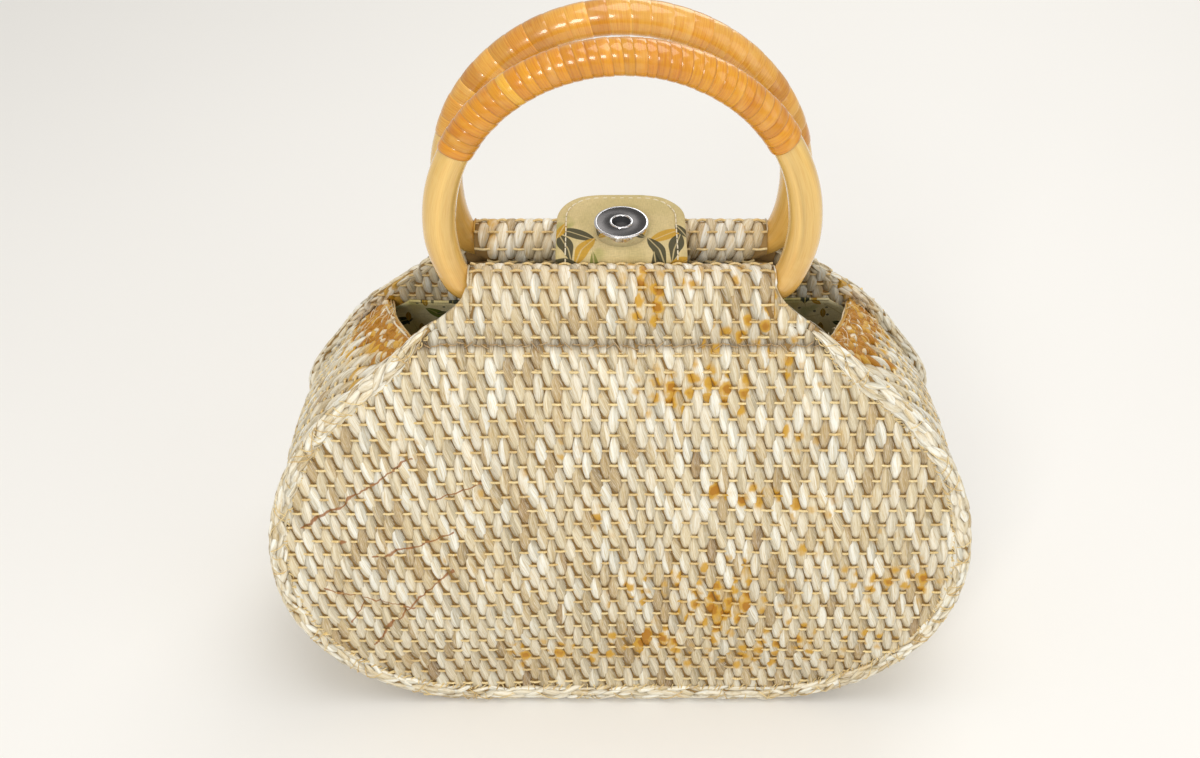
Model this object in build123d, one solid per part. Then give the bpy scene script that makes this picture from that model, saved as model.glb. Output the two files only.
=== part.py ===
from build123d import *
from math import acos, asin, atan2, cos, hypot, pi, radians, sin

# Straw handbag: two woven panels and a woven gusset, a cotton lining, a closure tab with a
# magnetic snap, and two D-shaped rattan rings that swing in the sleeves along the mouth.
# Millimetres. +Z is up, X runs along the mouth and -Y is the front. The origin is on the floor,
# under the middle of the bag.

# Bell outline of the panels, seen from the front: round corners, shoulders that run straight up to
# the mouth, and a notch at each end of the sleeve where the ring swings
BAG_WIDTH = 243.0
CORNER_RADIUS = 68.0
SHOULDER_RADIUS = 79.0
SHOULDER_ANGLE = 51.0
NECK_HALF_WIDTH = 48.0
NOTCH_RADIUS = 8.0
NOTCH_SETOUT = 8.2
NOTCH_RISE = 2.0

# Side view: the panels stand upright at the heel and lean together up to the sleeves
BASE_DEPTH = 102.0
HEEL_HEIGHT = 10.0
SLEEVE_SPACING = 28.0
BAR_HEIGHT = 160.5
SLEEVE_PLAY = 0.7
HEM_DROP = 21.5
HEM_FOLD = 2.0

# Woven straw cloth: rows of raised grains on a flat ground
CLOTH = 1.5
ROW_PITCH = 5.6
ROW_HEIGHT = 0.7
ROW_SHARES = ((0.0, 0.0), (0.5, 1.0))
SLEEVE_ROWS_END_ANGLE = 52.0

# Rolled seam round each panel, and the gusset between the panels
RIM_WIDTH = 5.5
RIM_RISE = 1.3
GUSSET_INSET = 3.0
GUSSET_RUN = 17.0
GUSSET_ROW_PITCH = 11.2
SEAM_GAP = 0.1
LINING = 0.6

# Rattan rings: a straight bar, tight corners, flared sides and a half-round arch
ROD_DIAMETER = 10.0
ROD_SIDES = 8
BAR_LENGTH = 94.0
RING_CORNER_RADIUS = 7.0
RING_CORNER_ANGLE = 65.0
RING_CORNER_SPANS = 3
RING_SIDE_RADIUS = 45.5
RING_SIDE_SPANS = 2

# Flat cane strip wound round the arch, each turn lapped over the next
WRAP_THICKNESS = 0.7
WRAP_LAP = 0.4
WRAP_GAP = 0.12
WRAP_START_ANGLE = 20.0
FRONT_STRIP_WIDTH = 7.8
BACK_STRIP_WIDTH = 9.3

# Closure tab: two plies of lining cloth with the seam turned in between them
TAB_WIDTH = 43.0
TAB_PLY = 0.8
TAB_SEAM_THICKNESS = 1.2
TAB_SEAM_WIDTH = 4.0
TAB_TIP_RADIUS = 14.0
TAB_FREE_LENGTH = 32.2
TAB_BEND_RADIUS = 1.8
TAB_RISE_ANGLE = 4.0
TAB_ROOT_SETBACK = 3.0
TAB_SEAT = 0.2

# Magnetic snap: a socket on the tab and a stud inside the back sleeve's wall
SNAP_DIAMETER = 18.0
SNAP_SETBACK = 22.6
SNAP_SHEET = 0.5
SNAP_FIT = 0.1
SOCKET_HEIGHT = 4.0
SOCKET_HOLE = 6.3
MAGNET_HEIGHT = 2.6
MAGNET_BORE = 7.4
STUD_HEIGHT = 1.8
POST_HEIGHT = 2.4
POST_FIT = 0.3
PRONG_SPREAD = 10.0
PRONG_WIDTH = 3.4
PRONG_SHEET = 0.4
PRONG_FOOT = 2.6
WASHER_LENGTH = 15.0
WASHER_WIDTH = 9.0
WASHER_SHEET = 0.45

# Side view of the front panel, in (y, z)
face_depth = BASE_DEPTH / 2 - RIM_RISE
bar = (-SLEEVE_SPACING / 2, BAR_HEIGHT)
bore_radius = ROD_DIAMETER / 2 + SLEEVE_PLAY
sleeve_radius = bore_radius + CLOTH
sleeve_crest = sleeve_radius + ROW_HEIGHT
lean = face_depth - SLEEVE_SPACING / 2
climb = BAR_HEIGHT - HEEL_HEIGHT
face_radius = (lean ** 2 + climb ** 2 - sleeve_radius ** 2) / (2 * (lean - sleeve_radius))
inner_radius = face_radius - CLOTH
arc_centre = (face_radius - face_depth, HEEL_HEIGHT)
crown_angle = pi - asin(climb / (face_radius - sleeve_radius))
foot_angle = pi + asin(HEEL_HEIGHT / face_radius)
inner_foot_angle = pi + asin(HEEL_HEIGHT / inner_radius)

# Outline centres, in (x, z)
corner_x = BAG_WIDTH / 2 - CORNER_RADIUS
shoulder_x = BAG_WIDTH / 2 - SHOULDER_RADIUS
shoulder_turn = radians(SHOULDER_ANGLE)
slope_angle = shoulder_turn + pi / 2
rim_top = CORNER_RADIUS + SHOULDER_RADIUS * sin(shoulder_turn) + GUSSET_RUN * sin(slope_angle)
bar_half = BAR_LENGTH / 2
notch = (bar_half + NOTCH_SETOUT, BAR_HEIGHT + NOTCH_RISE)
lining_inset = GUSSET_INSET + ROW_HEIGHT + CLOTH + SEAM_GAP


def polar(centre, radius, angle):
    return (centre[0] + radius * cos(angle), centre[1] + radius * sin(angle))


def arc(centre, radius, start, end):
    middle = (start + end) / 2
    return ThreePointArc(*(polar(centre, radius, angle) for angle in (start, middle, end)))


def face_of(*lines):
    return make_face([edge for line in lines for edge in line.edges()])


def along_x(face, half_length=BAG_WIDTH):
    """Prism along X of a face drawn in (y, z)."""
    return extrude(Plane.YZ * face, half_length, both=True)


def along_y(face, half_length=BASE_DEPTH):
    """Prism along Y of a face drawn in (x, z)."""
    return extrude(Plane.XZ * face, half_length, both=True)


def to_back(shape):
    return mirror(shape, about=Plane.XZ)


def both_halves(half):
    return half + mirror(half, about=Plane.YZ)


def below(height):
    """Everything between the floor and a height."""
    return Box(2 * BAG_WIDTH, 2 * BASE_DEPTH, height, align=(Align.CENTER, Align.CENTER, Align.MIN))


def drum(radius):
    """Cylinder along X about the centre of the front panel's side view."""
    return along_x(Pos(*arc_centre) * Circle(radius))


def bag_space(gap):
    """The space between the two panels, clear of both by a gap."""
    front = drum(inner_radius - gap)
    return front & to_back(front)


def row_steps(length, pitch):
    """Share of a length and height of each point of the raised rows along it."""
    rows = max(1, round(abs(length) / pitch))
    return [
        ((row + along_share) / rows, rise_share * ROW_HEIGHT)
        for row in range(rows)
        for along_share, rise_share in ROW_SHARES
    ]


def woven_rows(centre, radius, start, end, pitch=ROW_PITCH):
    """Section of the raised rows along an arc, without the arc's last point."""
    steps = row_steps((end - start) * radius, pitch)
    return [polar(centre, radius + rise, start + share * (end - start)) for share, rise in steps]


def straight_rows(start, angle, length, pitch):
    """Section of the raised rows along a line that leaves start at an angle, rising to its right."""
    steps = row_steps(length, pitch)
    return [polar(polar(start, share * length, angle), rise, angle - pi / 2) for share, rise in steps]


# Inner wall of the sleeve: from the hem it runs straight up to the bar's far side
hem_angle = pi - asin((BAR_HEIGHT - HEM_DROP - HEEL_HEIGHT) / inner_radius)
hem = polar(arc_centre, inner_radius, hem_angle)
hem_edge_angle = hem_angle + HEM_FOLD / inner_radius
hem_edge = polar(arc_centre, inner_radius, hem_edge_angle)
hem_to_bar = (bar[0] - hem[0], bar[1] - hem[1])
wall_angle = atan2(hem_to_bar[1], hem_to_bar[0]) - asin(bore_radius / hypot(*hem_to_bar))
wall_normal = wall_angle - pi / 2
wall_foot = polar(hem, CLOTH, wall_normal)
wall_top = polar(bar, sleeve_radius, wall_normal)
wall_length = hypot(wall_top[0] - wall_foot[0], wall_top[1] - wall_foot[1])


def outline(inset=0.0, lowered=0.0):
    """Bell outline in (x, z), drawn in all round by inset and let down by lowered."""
    waist = CORNER_RADIUS - lowered
    base = waist - CORNER_RADIUS + inset
    top = BAR_HEIGHT + 2 * sleeve_crest
    neck_x = NECK_HALF_WIDTH - inset
    shoulder = (shoulder_x, waist)
    slope_foot = polar(shoulder, SHOULDER_RADIUS - inset, shoulder_turn)
    slope_top = polar(slope_foot, (neck_x - slope_foot[0]) / cos(slope_angle), slope_angle)
    half = (
        Line((0, base), (corner_x, base)),
        arc((corner_x, waist), CORNER_RADIUS - inset, -pi / 2, 0),
        arc(shoulder, SHOULDER_RADIUS - inset, 0, shoulder_turn),
        Polyline(slope_foot, slope_top, (neck_x, top), (0, top)),
    )
    return face_of(*half, *(mirror(line, about=Plane.YZ) for line in half))


def panel_outline():
    notches = [Pos(side * notch[0], notch[1]) * Circle(NOTCH_RADIUS) for side in (-1, 1)]
    return outline() - notches


def panel_section():
    """The woven wall, its fold over the bar and the inner wall down to the hem."""
    rows_end = radians(SLEEVE_ROWS_END_ANGLE)
    rows = woven_rows(arc_centre, face_radius, foot_angle, crown_angle)
    rows += woven_rows(bar, sleeve_radius, crown_angle, rows_end)
    rows.append(polar(bar, sleeve_radius, rows_end))
    wall = face_of(
        Polyline(*rows),
        arc(bar, sleeve_radius, rows_end, wall_normal),
        Polyline(wall_top, wall_foot, hem_edge),
        arc(arc_centre, inner_radius, hem_edge_angle, inner_foot_angle),
        Line(polar(arc_centre, inner_radius, inner_foot_angle), rows[0]),
    )
    pocket = face_of(
        arc(arc_centre, inner_radius, hem_angle, crown_angle),
        arc(bar, bore_radius, crown_angle, wall_normal),
        Line(polar(bar, bore_radius, wall_normal), hem),
    )
    return wall - pocket


def make_panel():
    field = along_x(panel_section()) & along_y(panel_outline())
    roll = (drum(face_radius + RIM_RISE) - drum(inner_radius)) & below(rim_top)
    return field + (roll & (along_y(outline()) - along_y(outline(RIM_WIDTH))))


def gusset_strip(inset, thickness, rows):
    """Half of a strip along the outline, in (x, z): flat on the base, up to its end on the slope."""
    waist = CORNER_RADIUS - GUSSET_INSET
    corner = (corner_x, waist)
    shoulder = (shoulder_x, waist)
    rise = ROW_HEIGHT if rows else 0.0
    corner_face = CORNER_RADIUS - inset - rise
    shoulder_face = SHOULDER_RADIUS - inset - rise
    base = waist - CORNER_RADIUS + inset
    start = (corner_x, base)
    slope_foot = polar(shoulder, shoulder_face, shoulder_turn)
    end = polar(slope_foot, GUSSET_RUN, slope_angle)
    if rows:
        points = woven_rows(corner, corner_face, -pi / 2, 0, GUSSET_ROW_PITCH)
        points += woven_rows(shoulder, shoulder_face, 0, shoulder_turn, GUSSET_ROW_PITCH)
        points += straight_rows(slope_foot, slope_angle, GUSSET_RUN, GUSSET_ROW_PITCH)
        outside = (Polyline(start, *points, end),)
    else:
        outside = (
            arc(corner, corner_face, -pi / 2, 0),
            arc(shoulder, shoulder_face, 0, shoulder_turn),
            Line(slope_foot, end),
        )
    inner_base = base + rise + thickness
    inner_foot = polar(shoulder, shoulder_face - thickness, shoulder_turn)
    return face_of(
        Line((0, base), start),
        *outside,
        Polyline(end, polar(end, thickness, shoulder_turn + pi), inner_foot),
        arc(shoulder, shoulder_face - thickness, shoulder_turn, 0),
        arc(corner, corner_face - thickness, 0, -pi / 2),
        Polyline((corner_x, inner_base), (0, inner_base), (0, base)),
    )


def make_gusset():
    strip = along_y(gusset_strip(GUSSET_INSET, CLOTH, True))
    return both_halves(strip & bag_space(SEAM_GAP))


def make_lining_gusset():
    strip = along_y(gusset_strip(lining_inset, LINING, False))
    return both_halves(strip & bag_space(LINING + 2 * SEAM_GAP))


def make_lining_panel():
    ply = drum(inner_radius - SEAM_GAP) - drum(inner_radius - SEAM_GAP - LINING)
    return ply & along_y(outline(lining_inset, GUSSET_INSET)) & below(hem_edge[1] - SEAM_GAP)


# Rattan rings, built in the front ring's own plane
corner_turn = radians(RING_CORNER_ANGLE)
arch_radius = bar_half + RING_CORNER_RADIUS * sin(corner_turn) + RING_SIDE_RADIUS * (1 - sin(corner_turn))
arch_height = RING_CORNER_RADIUS * (1 - cos(corner_turn)) + RING_SIDE_RADIUS * cos(corner_turn)
arch_centre = (0, BAR_HEIGHT + arch_height)


def ring_plane(x, height, heading):
    """Plane square to the rod where it heads at an angle up from +X."""
    outward = (sin(heading), 0, -cos(heading))
    return Plane(origin=(x, bar[0], height), x_dir=outward, z_dir=(cos(heading), 0, sin(heading)))


def arch_plane(angle):
    """Plane square to the arch at an angle up from its right-hand end."""
    x, height = polar(arch_centre, arch_radius, angle)
    return ring_plane(x, height, angle + pi / 2)


def arch_spans(strip_width):
    """Turns of the strip that would cover a quarter of the ring."""
    return round(arch_radius * pi / 2 / strip_width)


def make_rod(strip_width):
    """Half of the ring, section after section from the middle of the bar, and its mirror image."""
    x, height, heading = bar_half, BAR_HEIGHT, 0.0
    planes = [ring_plane(0, height, heading), ring_plane(x, height, heading)]
    bends = (
        (RING_CORNER_RADIUS, corner_turn, RING_CORNER_SPANS),
        (RING_SIDE_RADIUS, pi / 2 - corner_turn, RING_SIDE_SPANS),
        (arch_radius, pi / 2, arch_spans(strip_width)),
    )
    for radius, turn, spans in bends:
        for _ in range(spans):
            turned = heading + turn / spans
            x += radius * (sin(turned) - sin(heading))
            height += radius * (cos(heading) - cos(turned))
            heading = turned
            planes.append(ring_plane(x, height, heading))
    sections = [plane * RegularPolygon(ROD_DIAMETER / 2, ROD_SIDES) for plane in planes]
    return both_halves(loft(sections, ruled=True))


def make_wrap(strip_width):
    """Turns of the cane strip, each a short tapered sleeve on the rod."""
    spans = arch_spans(strip_width)
    step = pi / 2 / spans
    bare = round(radians(WRAP_START_ANGLE) / step)
    high = ROD_DIAMETER / 2 + WRAP_THICKNESS
    turns = []
    for turn in range(bare, 2 * spans - bare):
        planes = (arch_plane(turn * step), arch_plane((turn + 1) * step))
        radii = (high, high - WRAP_LAP)
        bore = ROD_DIAMETER / 2 + WRAP_GAP
        cover = loft([p * RegularPolygon(r, ROD_SIDES) for p, r in zip(planes, radii)], ruled=True)
        turns.append(cover - loft([p * RegularPolygon(bore, ROD_SIDES) for p in planes], ruled=True))
    return turns[0] + turns[1:]


# Closure tab, in (y, z): sewn on the front sleeve's inner wall, it follows the sleeve up, folds and
# lies back over the back sleeve
tab_half = TAB_SEAM_THICKNESS / 2 + TAB_PLY
hug_radius = sleeve_radius + TAB_SEAT + tab_half
tab_rise = radians(TAB_RISE_ANGLE)
tab_up = tab_rise + pi / 2
tab_clear = sleeve_crest + TAB_SEAT + tab_half - TAB_BEND_RADIUS - SLEEVE_SPACING * sin(tab_rise)
fold_angle = tab_up - acos(tab_clear / (hug_radius + TAB_BEND_RADIUS))
tab_bend = polar(bar, hug_radius + TAB_BEND_RADIUS, fold_angle)
tab_straight = polar(tab_bend, TAB_BEND_RADIUS, tab_up)
tab_tip = polar(tab_straight, TAB_FREE_LENGTH, tab_rise)
tab_root = polar(polar(wall_foot, TAB_ROOT_SETBACK, wall_angle), TAB_SEAT + tab_half, wall_normal)


def tab_ply(low, high):
    """Section of the part of the tab between two heights over its middle surface."""
    edges = []
    ends = []
    for height in (low, high):
        root = polar(tab_root, height, wall_angle + pi / 2)
        tip = polar(tab_tip, height, tab_up)
        hug = hug_radius - height
        bend = TAB_BEND_RADIUS + height
        edges += [
            Line(root, polar(bar, hug, wall_normal)),
            arc(bar, hug, wall_normal, fold_angle),
            arc(tab_bend, bend, fold_angle + pi, tab_up),
            Line(polar(tab_bend, bend, tab_up), tip),
        ]
        ends.append((root, tip))
    (low_root, low_tip), (high_root, high_tip) = ends
    return face_of(*edges, Line(low_root, high_root), Line(low_tip, high_tip))


def tab_plane(from_tip, height):
    """Plane on the tab's straight end, with its Y towards the tip."""
    y, z = polar(polar(tab_tip, -from_tip, tab_rise), height, tab_up)
    return Plane(origin=(0, y, z), x_dir=(1, 0, 0), z_dir=(0, cos(tab_up), sin(tab_up)))


def tab_plan(inset=0.0):
    """Round-cornered plan of the tab as a tall prism, long enough to reach past the root."""
    length = 2 * (TAB_FREE_LENGTH + SLEEVE_SPACING)
    plan = Pos(0, -inset - length / 2) * Rectangle(TAB_WIDTH - 2 * inset, length)
    plan = fillet(plan.vertices().group_by(Axis.Y)[-1], TAB_TIP_RADIUS - inset)
    return extrude(tab_plane(0, 0) * plan, BAR_HEIGHT, both=True)


def prong_slots(depth, sheet):
    """Slits that the two prongs pass through, cut down into a sheet from the plane it lies on."""
    width = PRONG_WIDTH + 2 * SNAP_FIT
    thickness = PRONG_SHEET + 2 * SNAP_FIT
    slit = Pos(0, 0, -depth - sheet / 2) * Box(thickness, width, 2 * sheet)
    return [Pos(side * PRONG_SPREAD / 2, 0, 0) * slit for side in (-1, 1)]


def make_tab_facing():
    ply = along_x(tab_ply(tab_half - TAB_PLY, tab_half)) & tab_plan()
    return ply - tab_plane(SNAP_SETBACK, tab_half) * Compound(prong_slots(0, TAB_PLY))


def make_tab_backing():
    ply = along_x(tab_ply(-tab_half, TAB_PLY - tab_half)) & tab_plan()
    seam = along_x(tab_ply(TAB_PLY - tab_half, tab_half - TAB_PLY)) & (tab_plan() - tab_plan(TAB_SEAM_WIDTH))
    return ply + seam


def disc(radius, low, high):
    return extrude(Pos(0, 0, low) * Circle(radius), high - low)


# Snap pieces, each built about the point where its plate lies on the cloth, Z away from the cloth
snap_radius = SNAP_DIAMETER / 2
snap_cavity = snap_radius - SNAP_SHEET
prong_top = SNAP_FIT + PRONG_SHEET


def make_socket_cap():
    cap = disc(snap_radius, 0, SOCKET_HEIGHT) - disc(snap_cavity, 0, SOCKET_HEIGHT - SNAP_SHEET)
    return cap - disc(SOCKET_HOLE / 2, 0, SOCKET_HEIGHT)


def make_magnet():
    ring = disc(snap_cavity - SNAP_FIT, 0, MAGNET_HEIGHT) - disc(MAGNET_BORE / 2, 0, MAGNET_HEIGHT)
    return Pos(0, 0, SOCKET_HEIGHT - SNAP_SHEET - SNAP_FIT - MAGNET_HEIGHT) * ring


def make_prongs(sheet):
    """Strip under the plate with two legs through a sheet, turned out flat under the washer."""
    foot_top = -sheet - WASHER_SHEET - 2 * SNAP_FIT
    leg_height = prong_top - foot_top + PRONG_SHEET
    bottom = (Align.CENTER, Align.CENTER, Align.MIN)
    prongs = Pos(0, 0, SNAP_FIT) * Box(PRONG_SPREAD + PRONG_SHEET, PRONG_WIDTH, PRONG_SHEET, align=bottom)
    for side in (-1, 1):
        leg = Box(PRONG_SHEET, PRONG_WIDTH, leg_height, align=bottom)
        foot = Pos(side * PRONG_FOOT / 2, 0, 0) * Box(PRONG_FOOT, PRONG_WIDTH, PRONG_SHEET, align=bottom)
        prongs += Pos(side * PRONG_SPREAD / 2, 0, foot_top - PRONG_SHEET) * (leg + foot)
    return prongs


def make_washer(sheet):
    plate = extrude(Rectangle(WASHER_LENGTH, WASHER_WIDTH), WASHER_SHEET)
    plate = Pos(0, 0, -sheet - SNAP_FIT - WASHER_SHEET) * plate
    return plate - Compound(prong_slots(sheet + SNAP_FIT, WASHER_SHEET))


def make_stud():
    """Plate with the post that drops into the socket."""
    post_radius = (SOCKET_HOLE - POST_FIT) / 2
    plate = disc(snap_radius, prong_top + SNAP_FIT, STUD_HEIGHT)
    return plate + disc(post_radius, STUD_HEIGHT, STUD_HEIGHT + POST_HEIGHT)


def stud_plane():
    """Plane on the middle of the back sleeve's inner wall, facing into the bag."""
    y, z = polar(wall_foot, wall_length / 2, wall_angle)
    return Plane(origin=(0, -y, z), x_dir=(1, 0, 0), z_dir=(0, -cos(wall_normal), sin(wall_normal)))


def make_back_panel(front_panel):
    return to_back(front_panel) - stud_plane() * Compound(prong_slots(0, CLOTH))


front_panel = make_panel()
lining_front = make_lining_panel()
socket_place = tab_plane(SNAP_SETBACK, tab_half + SNAP_FIT)
stud_place = stud_plane().offset(SNAP_FIT)

nodes = {
    "front_panel": front_panel,
    "back_panel": make_back_panel(front_panel),
    "gusset": make_gusset(),
    "lining_front": lining_front,
    "lining_back": to_back(lining_front),
    "lining_gusset": make_lining_gusset(),
    "tab_facing": make_tab_facing(),
    "tab_backing": make_tab_backing(),
    "snap_socket_cap": socket_place * make_socket_cap(),
    "snap_magnet": socket_place * make_magnet(),
    "snap_socket_prongs": socket_place * make_prongs(TAB_PLY + SNAP_FIT),
    "snap_socket_washer": socket_place * make_washer(TAB_PLY + SNAP_FIT),
    "snap_stud": stud_place * make_stud(),
    "snap_stud_prongs": stud_place * make_prongs(CLOTH + SNAP_FIT),
    "snap_stud_washer": stud_place * make_washer(CLOTH + SNAP_FIT),
    "front_handle_rod": make_rod(FRONT_STRIP_WIDTH),
    "front_handle_wrap": make_wrap(FRONT_STRIP_WIDTH),
    "back_handle_rod": to_back(make_rod(BACK_STRIP_WIDTH)),
    "back_handle_wrap": to_back(make_wrap(BACK_STRIP_WIDTH)),
}
for name, shape in nodes.items():
    export_step(shape, f"parts/{name}.step")
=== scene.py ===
import math

import bpy
import numpy as np
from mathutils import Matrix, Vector


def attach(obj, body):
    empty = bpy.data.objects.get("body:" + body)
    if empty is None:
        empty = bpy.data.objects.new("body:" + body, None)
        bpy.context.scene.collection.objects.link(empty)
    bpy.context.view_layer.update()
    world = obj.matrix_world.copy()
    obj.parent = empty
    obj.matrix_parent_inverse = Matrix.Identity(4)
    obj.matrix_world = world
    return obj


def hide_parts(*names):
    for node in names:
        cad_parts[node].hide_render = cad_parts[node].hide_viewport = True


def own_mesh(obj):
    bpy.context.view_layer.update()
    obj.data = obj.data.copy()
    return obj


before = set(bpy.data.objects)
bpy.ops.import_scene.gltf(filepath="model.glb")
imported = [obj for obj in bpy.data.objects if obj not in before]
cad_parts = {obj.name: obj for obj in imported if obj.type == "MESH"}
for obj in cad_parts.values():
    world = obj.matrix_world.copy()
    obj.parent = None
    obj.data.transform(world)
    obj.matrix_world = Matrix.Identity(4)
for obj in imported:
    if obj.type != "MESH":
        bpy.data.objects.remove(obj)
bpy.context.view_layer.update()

# Straw handbag. Lengths below are millimetres in the part's frame; meshes are made in metres.
MM = 0.001
rng = np.random.default_rng(20)

# Side view of a panel, in (y, z), as in the part
FACE_DEPTH = 49.7
HEEL = 10.0
BAR_Y = 14.0
BAR_Z = 160.5
BORE = 5.7
CLOTH = 1.5
HEM_DROP = 21.5
SEAM_Z = 146.0
SLEEVE_R = BORE + CLOTH
LEAN = FACE_DEPTH - BAR_Y
CLIMB = BAR_Z - HEEL
FACE_R = (LEAN ** 2 + CLIMB ** 2 - SLEEVE_R ** 2) / (2 * (LEAN - SLEEVE_R))
FACE_C = (FACE_R - FACE_DEPTH, HEEL)
CROWN = math.pi - math.asin(CLIMB / (FACE_R - SLEEVE_R))
FOOT = math.pi + math.asin(HEEL / FACE_R)
INNER_R = FACE_R - CLOTH
HEM_ANGLE = math.pi - math.asin((BAR_Z - HEM_DROP - HEEL) / INNER_R)
HEM = (FACE_C[0] + INNER_R * math.cos(HEM_ANGLE), FACE_C[1] + INNER_R * math.sin(HEM_ANGLE))
TO_BAR = (-BAR_Y - HEM[0], BAR_Z - HEM[1])
WALL = math.atan2(TO_BAR[1], TO_BAR[0]) - math.asin(BORE / math.hypot(*TO_BAR))
WALL_N = WALL - math.pi / 2
WALL_LENGTH = math.sqrt(math.hypot(*TO_BAR) ** 2 - BORE ** 2)

# Lengths up the cloth from its foot: the sleeve's start, its top, the inner wall and the hem
S_CROWN = FACE_R * (FOOT - CROWN)
S_TOP = S_CROWN + SLEEVE_R * (CROWN - math.pi / 2)
S_WALL = S_CROWN + SLEEVE_R * (CROWN - WALL_N)
S_END = S_WALL + WALL_LENGTH

# Bell outline, in (x, z): round corners (x, z, radius), a straight slope, and a notch beside the sleeve's end
HALF_WIDTH = 121.5
CORNER = (53.5, 68.0, 68.0)
SHOULDER = (42.5, 68.0, 79.0)
TURN = math.radians(51.0)
SLOPE_N = (math.cos(TURN), math.sin(TURN))
SLOPE_AT = SHOULDER[0] * SLOPE_N[0] + SHOULDER[1] * SLOPE_N[1] + SHOULDER[2]
NECK_HALF = 50.0
NECK_FOOT = 149.4
RIM_TOP = 153.0

# Curve from the slope to the sleeve's end: top, foot, power, and the heights between which it takes over
NOTCH = (164.0, NECK_FOOT, 5, 149.0, 153.0)
CORNER_CLOTH = (168.0, 153.0, 2.2, 151.0, 155.0)

# Floats of a corner's cloth: above a height, by the notch as it is a little higher up, and inside the slope
CORNER_LOW = 147.0
CORNER_LOOK = 4.0
CORNER_LAP = 2.4
CORNER_ROOM = 0.8

# Gusset strip
GUSSET_RUN = 17.0
STRIP_INSET = 3.7
STRIP_DROP = 3.0
STRIP_OVERRUN = 24.0
STRIP_SKEW = 16.0
STRIP_GAP = 0.4

# Weave: flat straw columns over thin wefts
COLUMN = 3.07
ROW = 5.7
FIRST_ROW = 3.0
GROUND_H = -0.5
EDGE_ROOM = 1.3
LOWEST_FLOAT = 2.6
TAB_ROOM = 22.0
STUD_ROOM = 9.5
STRAND_SIDES = 5

# Kinds of straw float: middle and spread of the half length, half width, lift and slant
PANEL_FLOAT = ((5.6, 0.12), (2.06, 0.12), (0.74, 0.09))
GUSSET_FLOAT = ((5.6, 0.14), (2.06, 0.13), (0.95, 0.14), (0.03, 0.06))
GUSSET_LUMP = ((2.5, 0.35), (1.45, 0.2), (1.15, 0.3), (0, 0.3))
FACING_FLOAT = ((5.4, 0.15), (2.05, 0.12), (0.85, 0.1), (0, 0.05))


def smooth(edge0, edge1, value):
    t = np.clip((value - edge0) / (edge1 - edge0), 0.0, 1.0)
    return t * t * (3 - 2 * t)


def linear(r, g, b):
    """Linear colour of an 8-bit one."""
    c = np.array([r, g, b], float) / 255
    return np.where(c <= 0.04045, c / 12.92, ((c + 0.055) / 1.055) ** 2.4)


def stacked(x, y, z):
    """Points from three coordinates that broadcast together."""
    return np.stack(np.broadcast_arrays(x, y, z), -1)


def travelled(x, z):
    """Length along a line up to each of its points."""
    return np.concatenate([[0], np.cumsum(np.hypot(np.diff(x), np.diff(z)))])


def mirrored(x, z):
    """A line that ends on the middle plane, carried on to the other side."""
    return np.concatenate([x, -x[-2::-1]]), np.concatenate([z, z[-2::-1]])


def evened(x, z, count):
    """A line at even steps: the length up to each point, its place and the normal on the line's left."""
    length = travelled(x, z)
    at = np.linspace(0, length[-1], count)
    x, z = np.interp(at, length, x), np.interp(at, length, z)
    dx, dz = np.gradient(x), np.gradient(z)
    size = np.hypot(dx, dz) + 1e-9
    return at, x, z, -dz / size, dx / size


def looked_up(table, at):
    """Values of a table's other rows at lengths in its first row."""
    return [np.interp(at, table[0], values) for values in table[1:]]


def around(sides):
    """Even angles round a circle."""
    return np.linspace(0, 2 * math.pi, sides, endpoint=False)


def square_metres(width, along):
    """Area of a strip from its widths at lengths along it."""
    return float(np.trapz(width, along)) * MM * MM


def draws(count, *kinds):
    """One row of random values for each (middle, spread)."""
    return [rng.normal(middle, spread, count) for middle, spread in kinds]


# Shape of the cloth
def slope_x(z, inset=0.0):
    return (SLOPE_AT - inset - z * SLOPE_N[1]) / SLOPE_N[0]


def necked(z, inset, top, foot, power, start, end):
    """Half width on the slope and on the curve from it to the sleeve's end."""
    flare = slope_x(foot) - NECK_HALF
    neck = NECK_HALF - inset + flare * np.clip((top - z) / (top - foot), 0, 1.4) ** power
    slope = slope_x(z, inset)
    return slope + (neck - slope) * smooth(start, end, z)


def outline_x(z, inset=0.0):
    """Half width of the bell at a height."""
    z = np.asarray(z, float)
    corner, shoulder = CORNER[2] - inset, SHOULDER[2] - inset
    low = CORNER[0] + np.sqrt(np.clip(corner ** 2 - (CORNER[1] - z) ** 2, 0, None))
    high = SHOULDER[0] + np.sqrt(np.clip(shoulder ** 2 - (z - SHOULDER[1]) ** 2, 0, None))
    x = np.where(z < SHOULDER[1] + shoulder * SLOPE_N[1], high, necked(z, inset, *NOTCH))
    return np.where(z < CORNER[1], low, x)


def flap_x(z):
    """Half width with the small corner of cloth that fills each notch beside a sleeve's end."""
    z = np.asarray(z, float)
    return np.maximum(outline_x(z), np.where(z > 140, necked(z, 0.0, *CORNER_CLOTH), 0))


def profile(s):
    """Place and outward normal in (y, z) at a length up the front panel, over the bar and down its wall."""
    s = np.asarray(s, float)
    face = FOOT - s / FACE_R
    bend = CROWN - (s - S_CROWN) / SLEEVE_R
    on_face = s <= S_CROWN
    on_bend = (s > S_CROWN) & (s <= S_WALL)
    angle = np.where(on_face, face, np.where(on_bend, bend, WALL_N))
    ny, nz = np.cos(angle), np.sin(angle)
    down = np.clip(s - S_WALL, 0, None)
    y = np.where(on_face, FACE_C[0] + FACE_R * ny, -BAR_Y + SLEEVE_R * ny - down * math.cos(WALL))
    z = np.where(on_face, FACE_C[1] + FACE_R * nz, BAR_Z + SLEEVE_R * nz - down * math.sin(WALL))
    return y, z, ny, nz


def height(s):
    return profile(s)[1]


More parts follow.
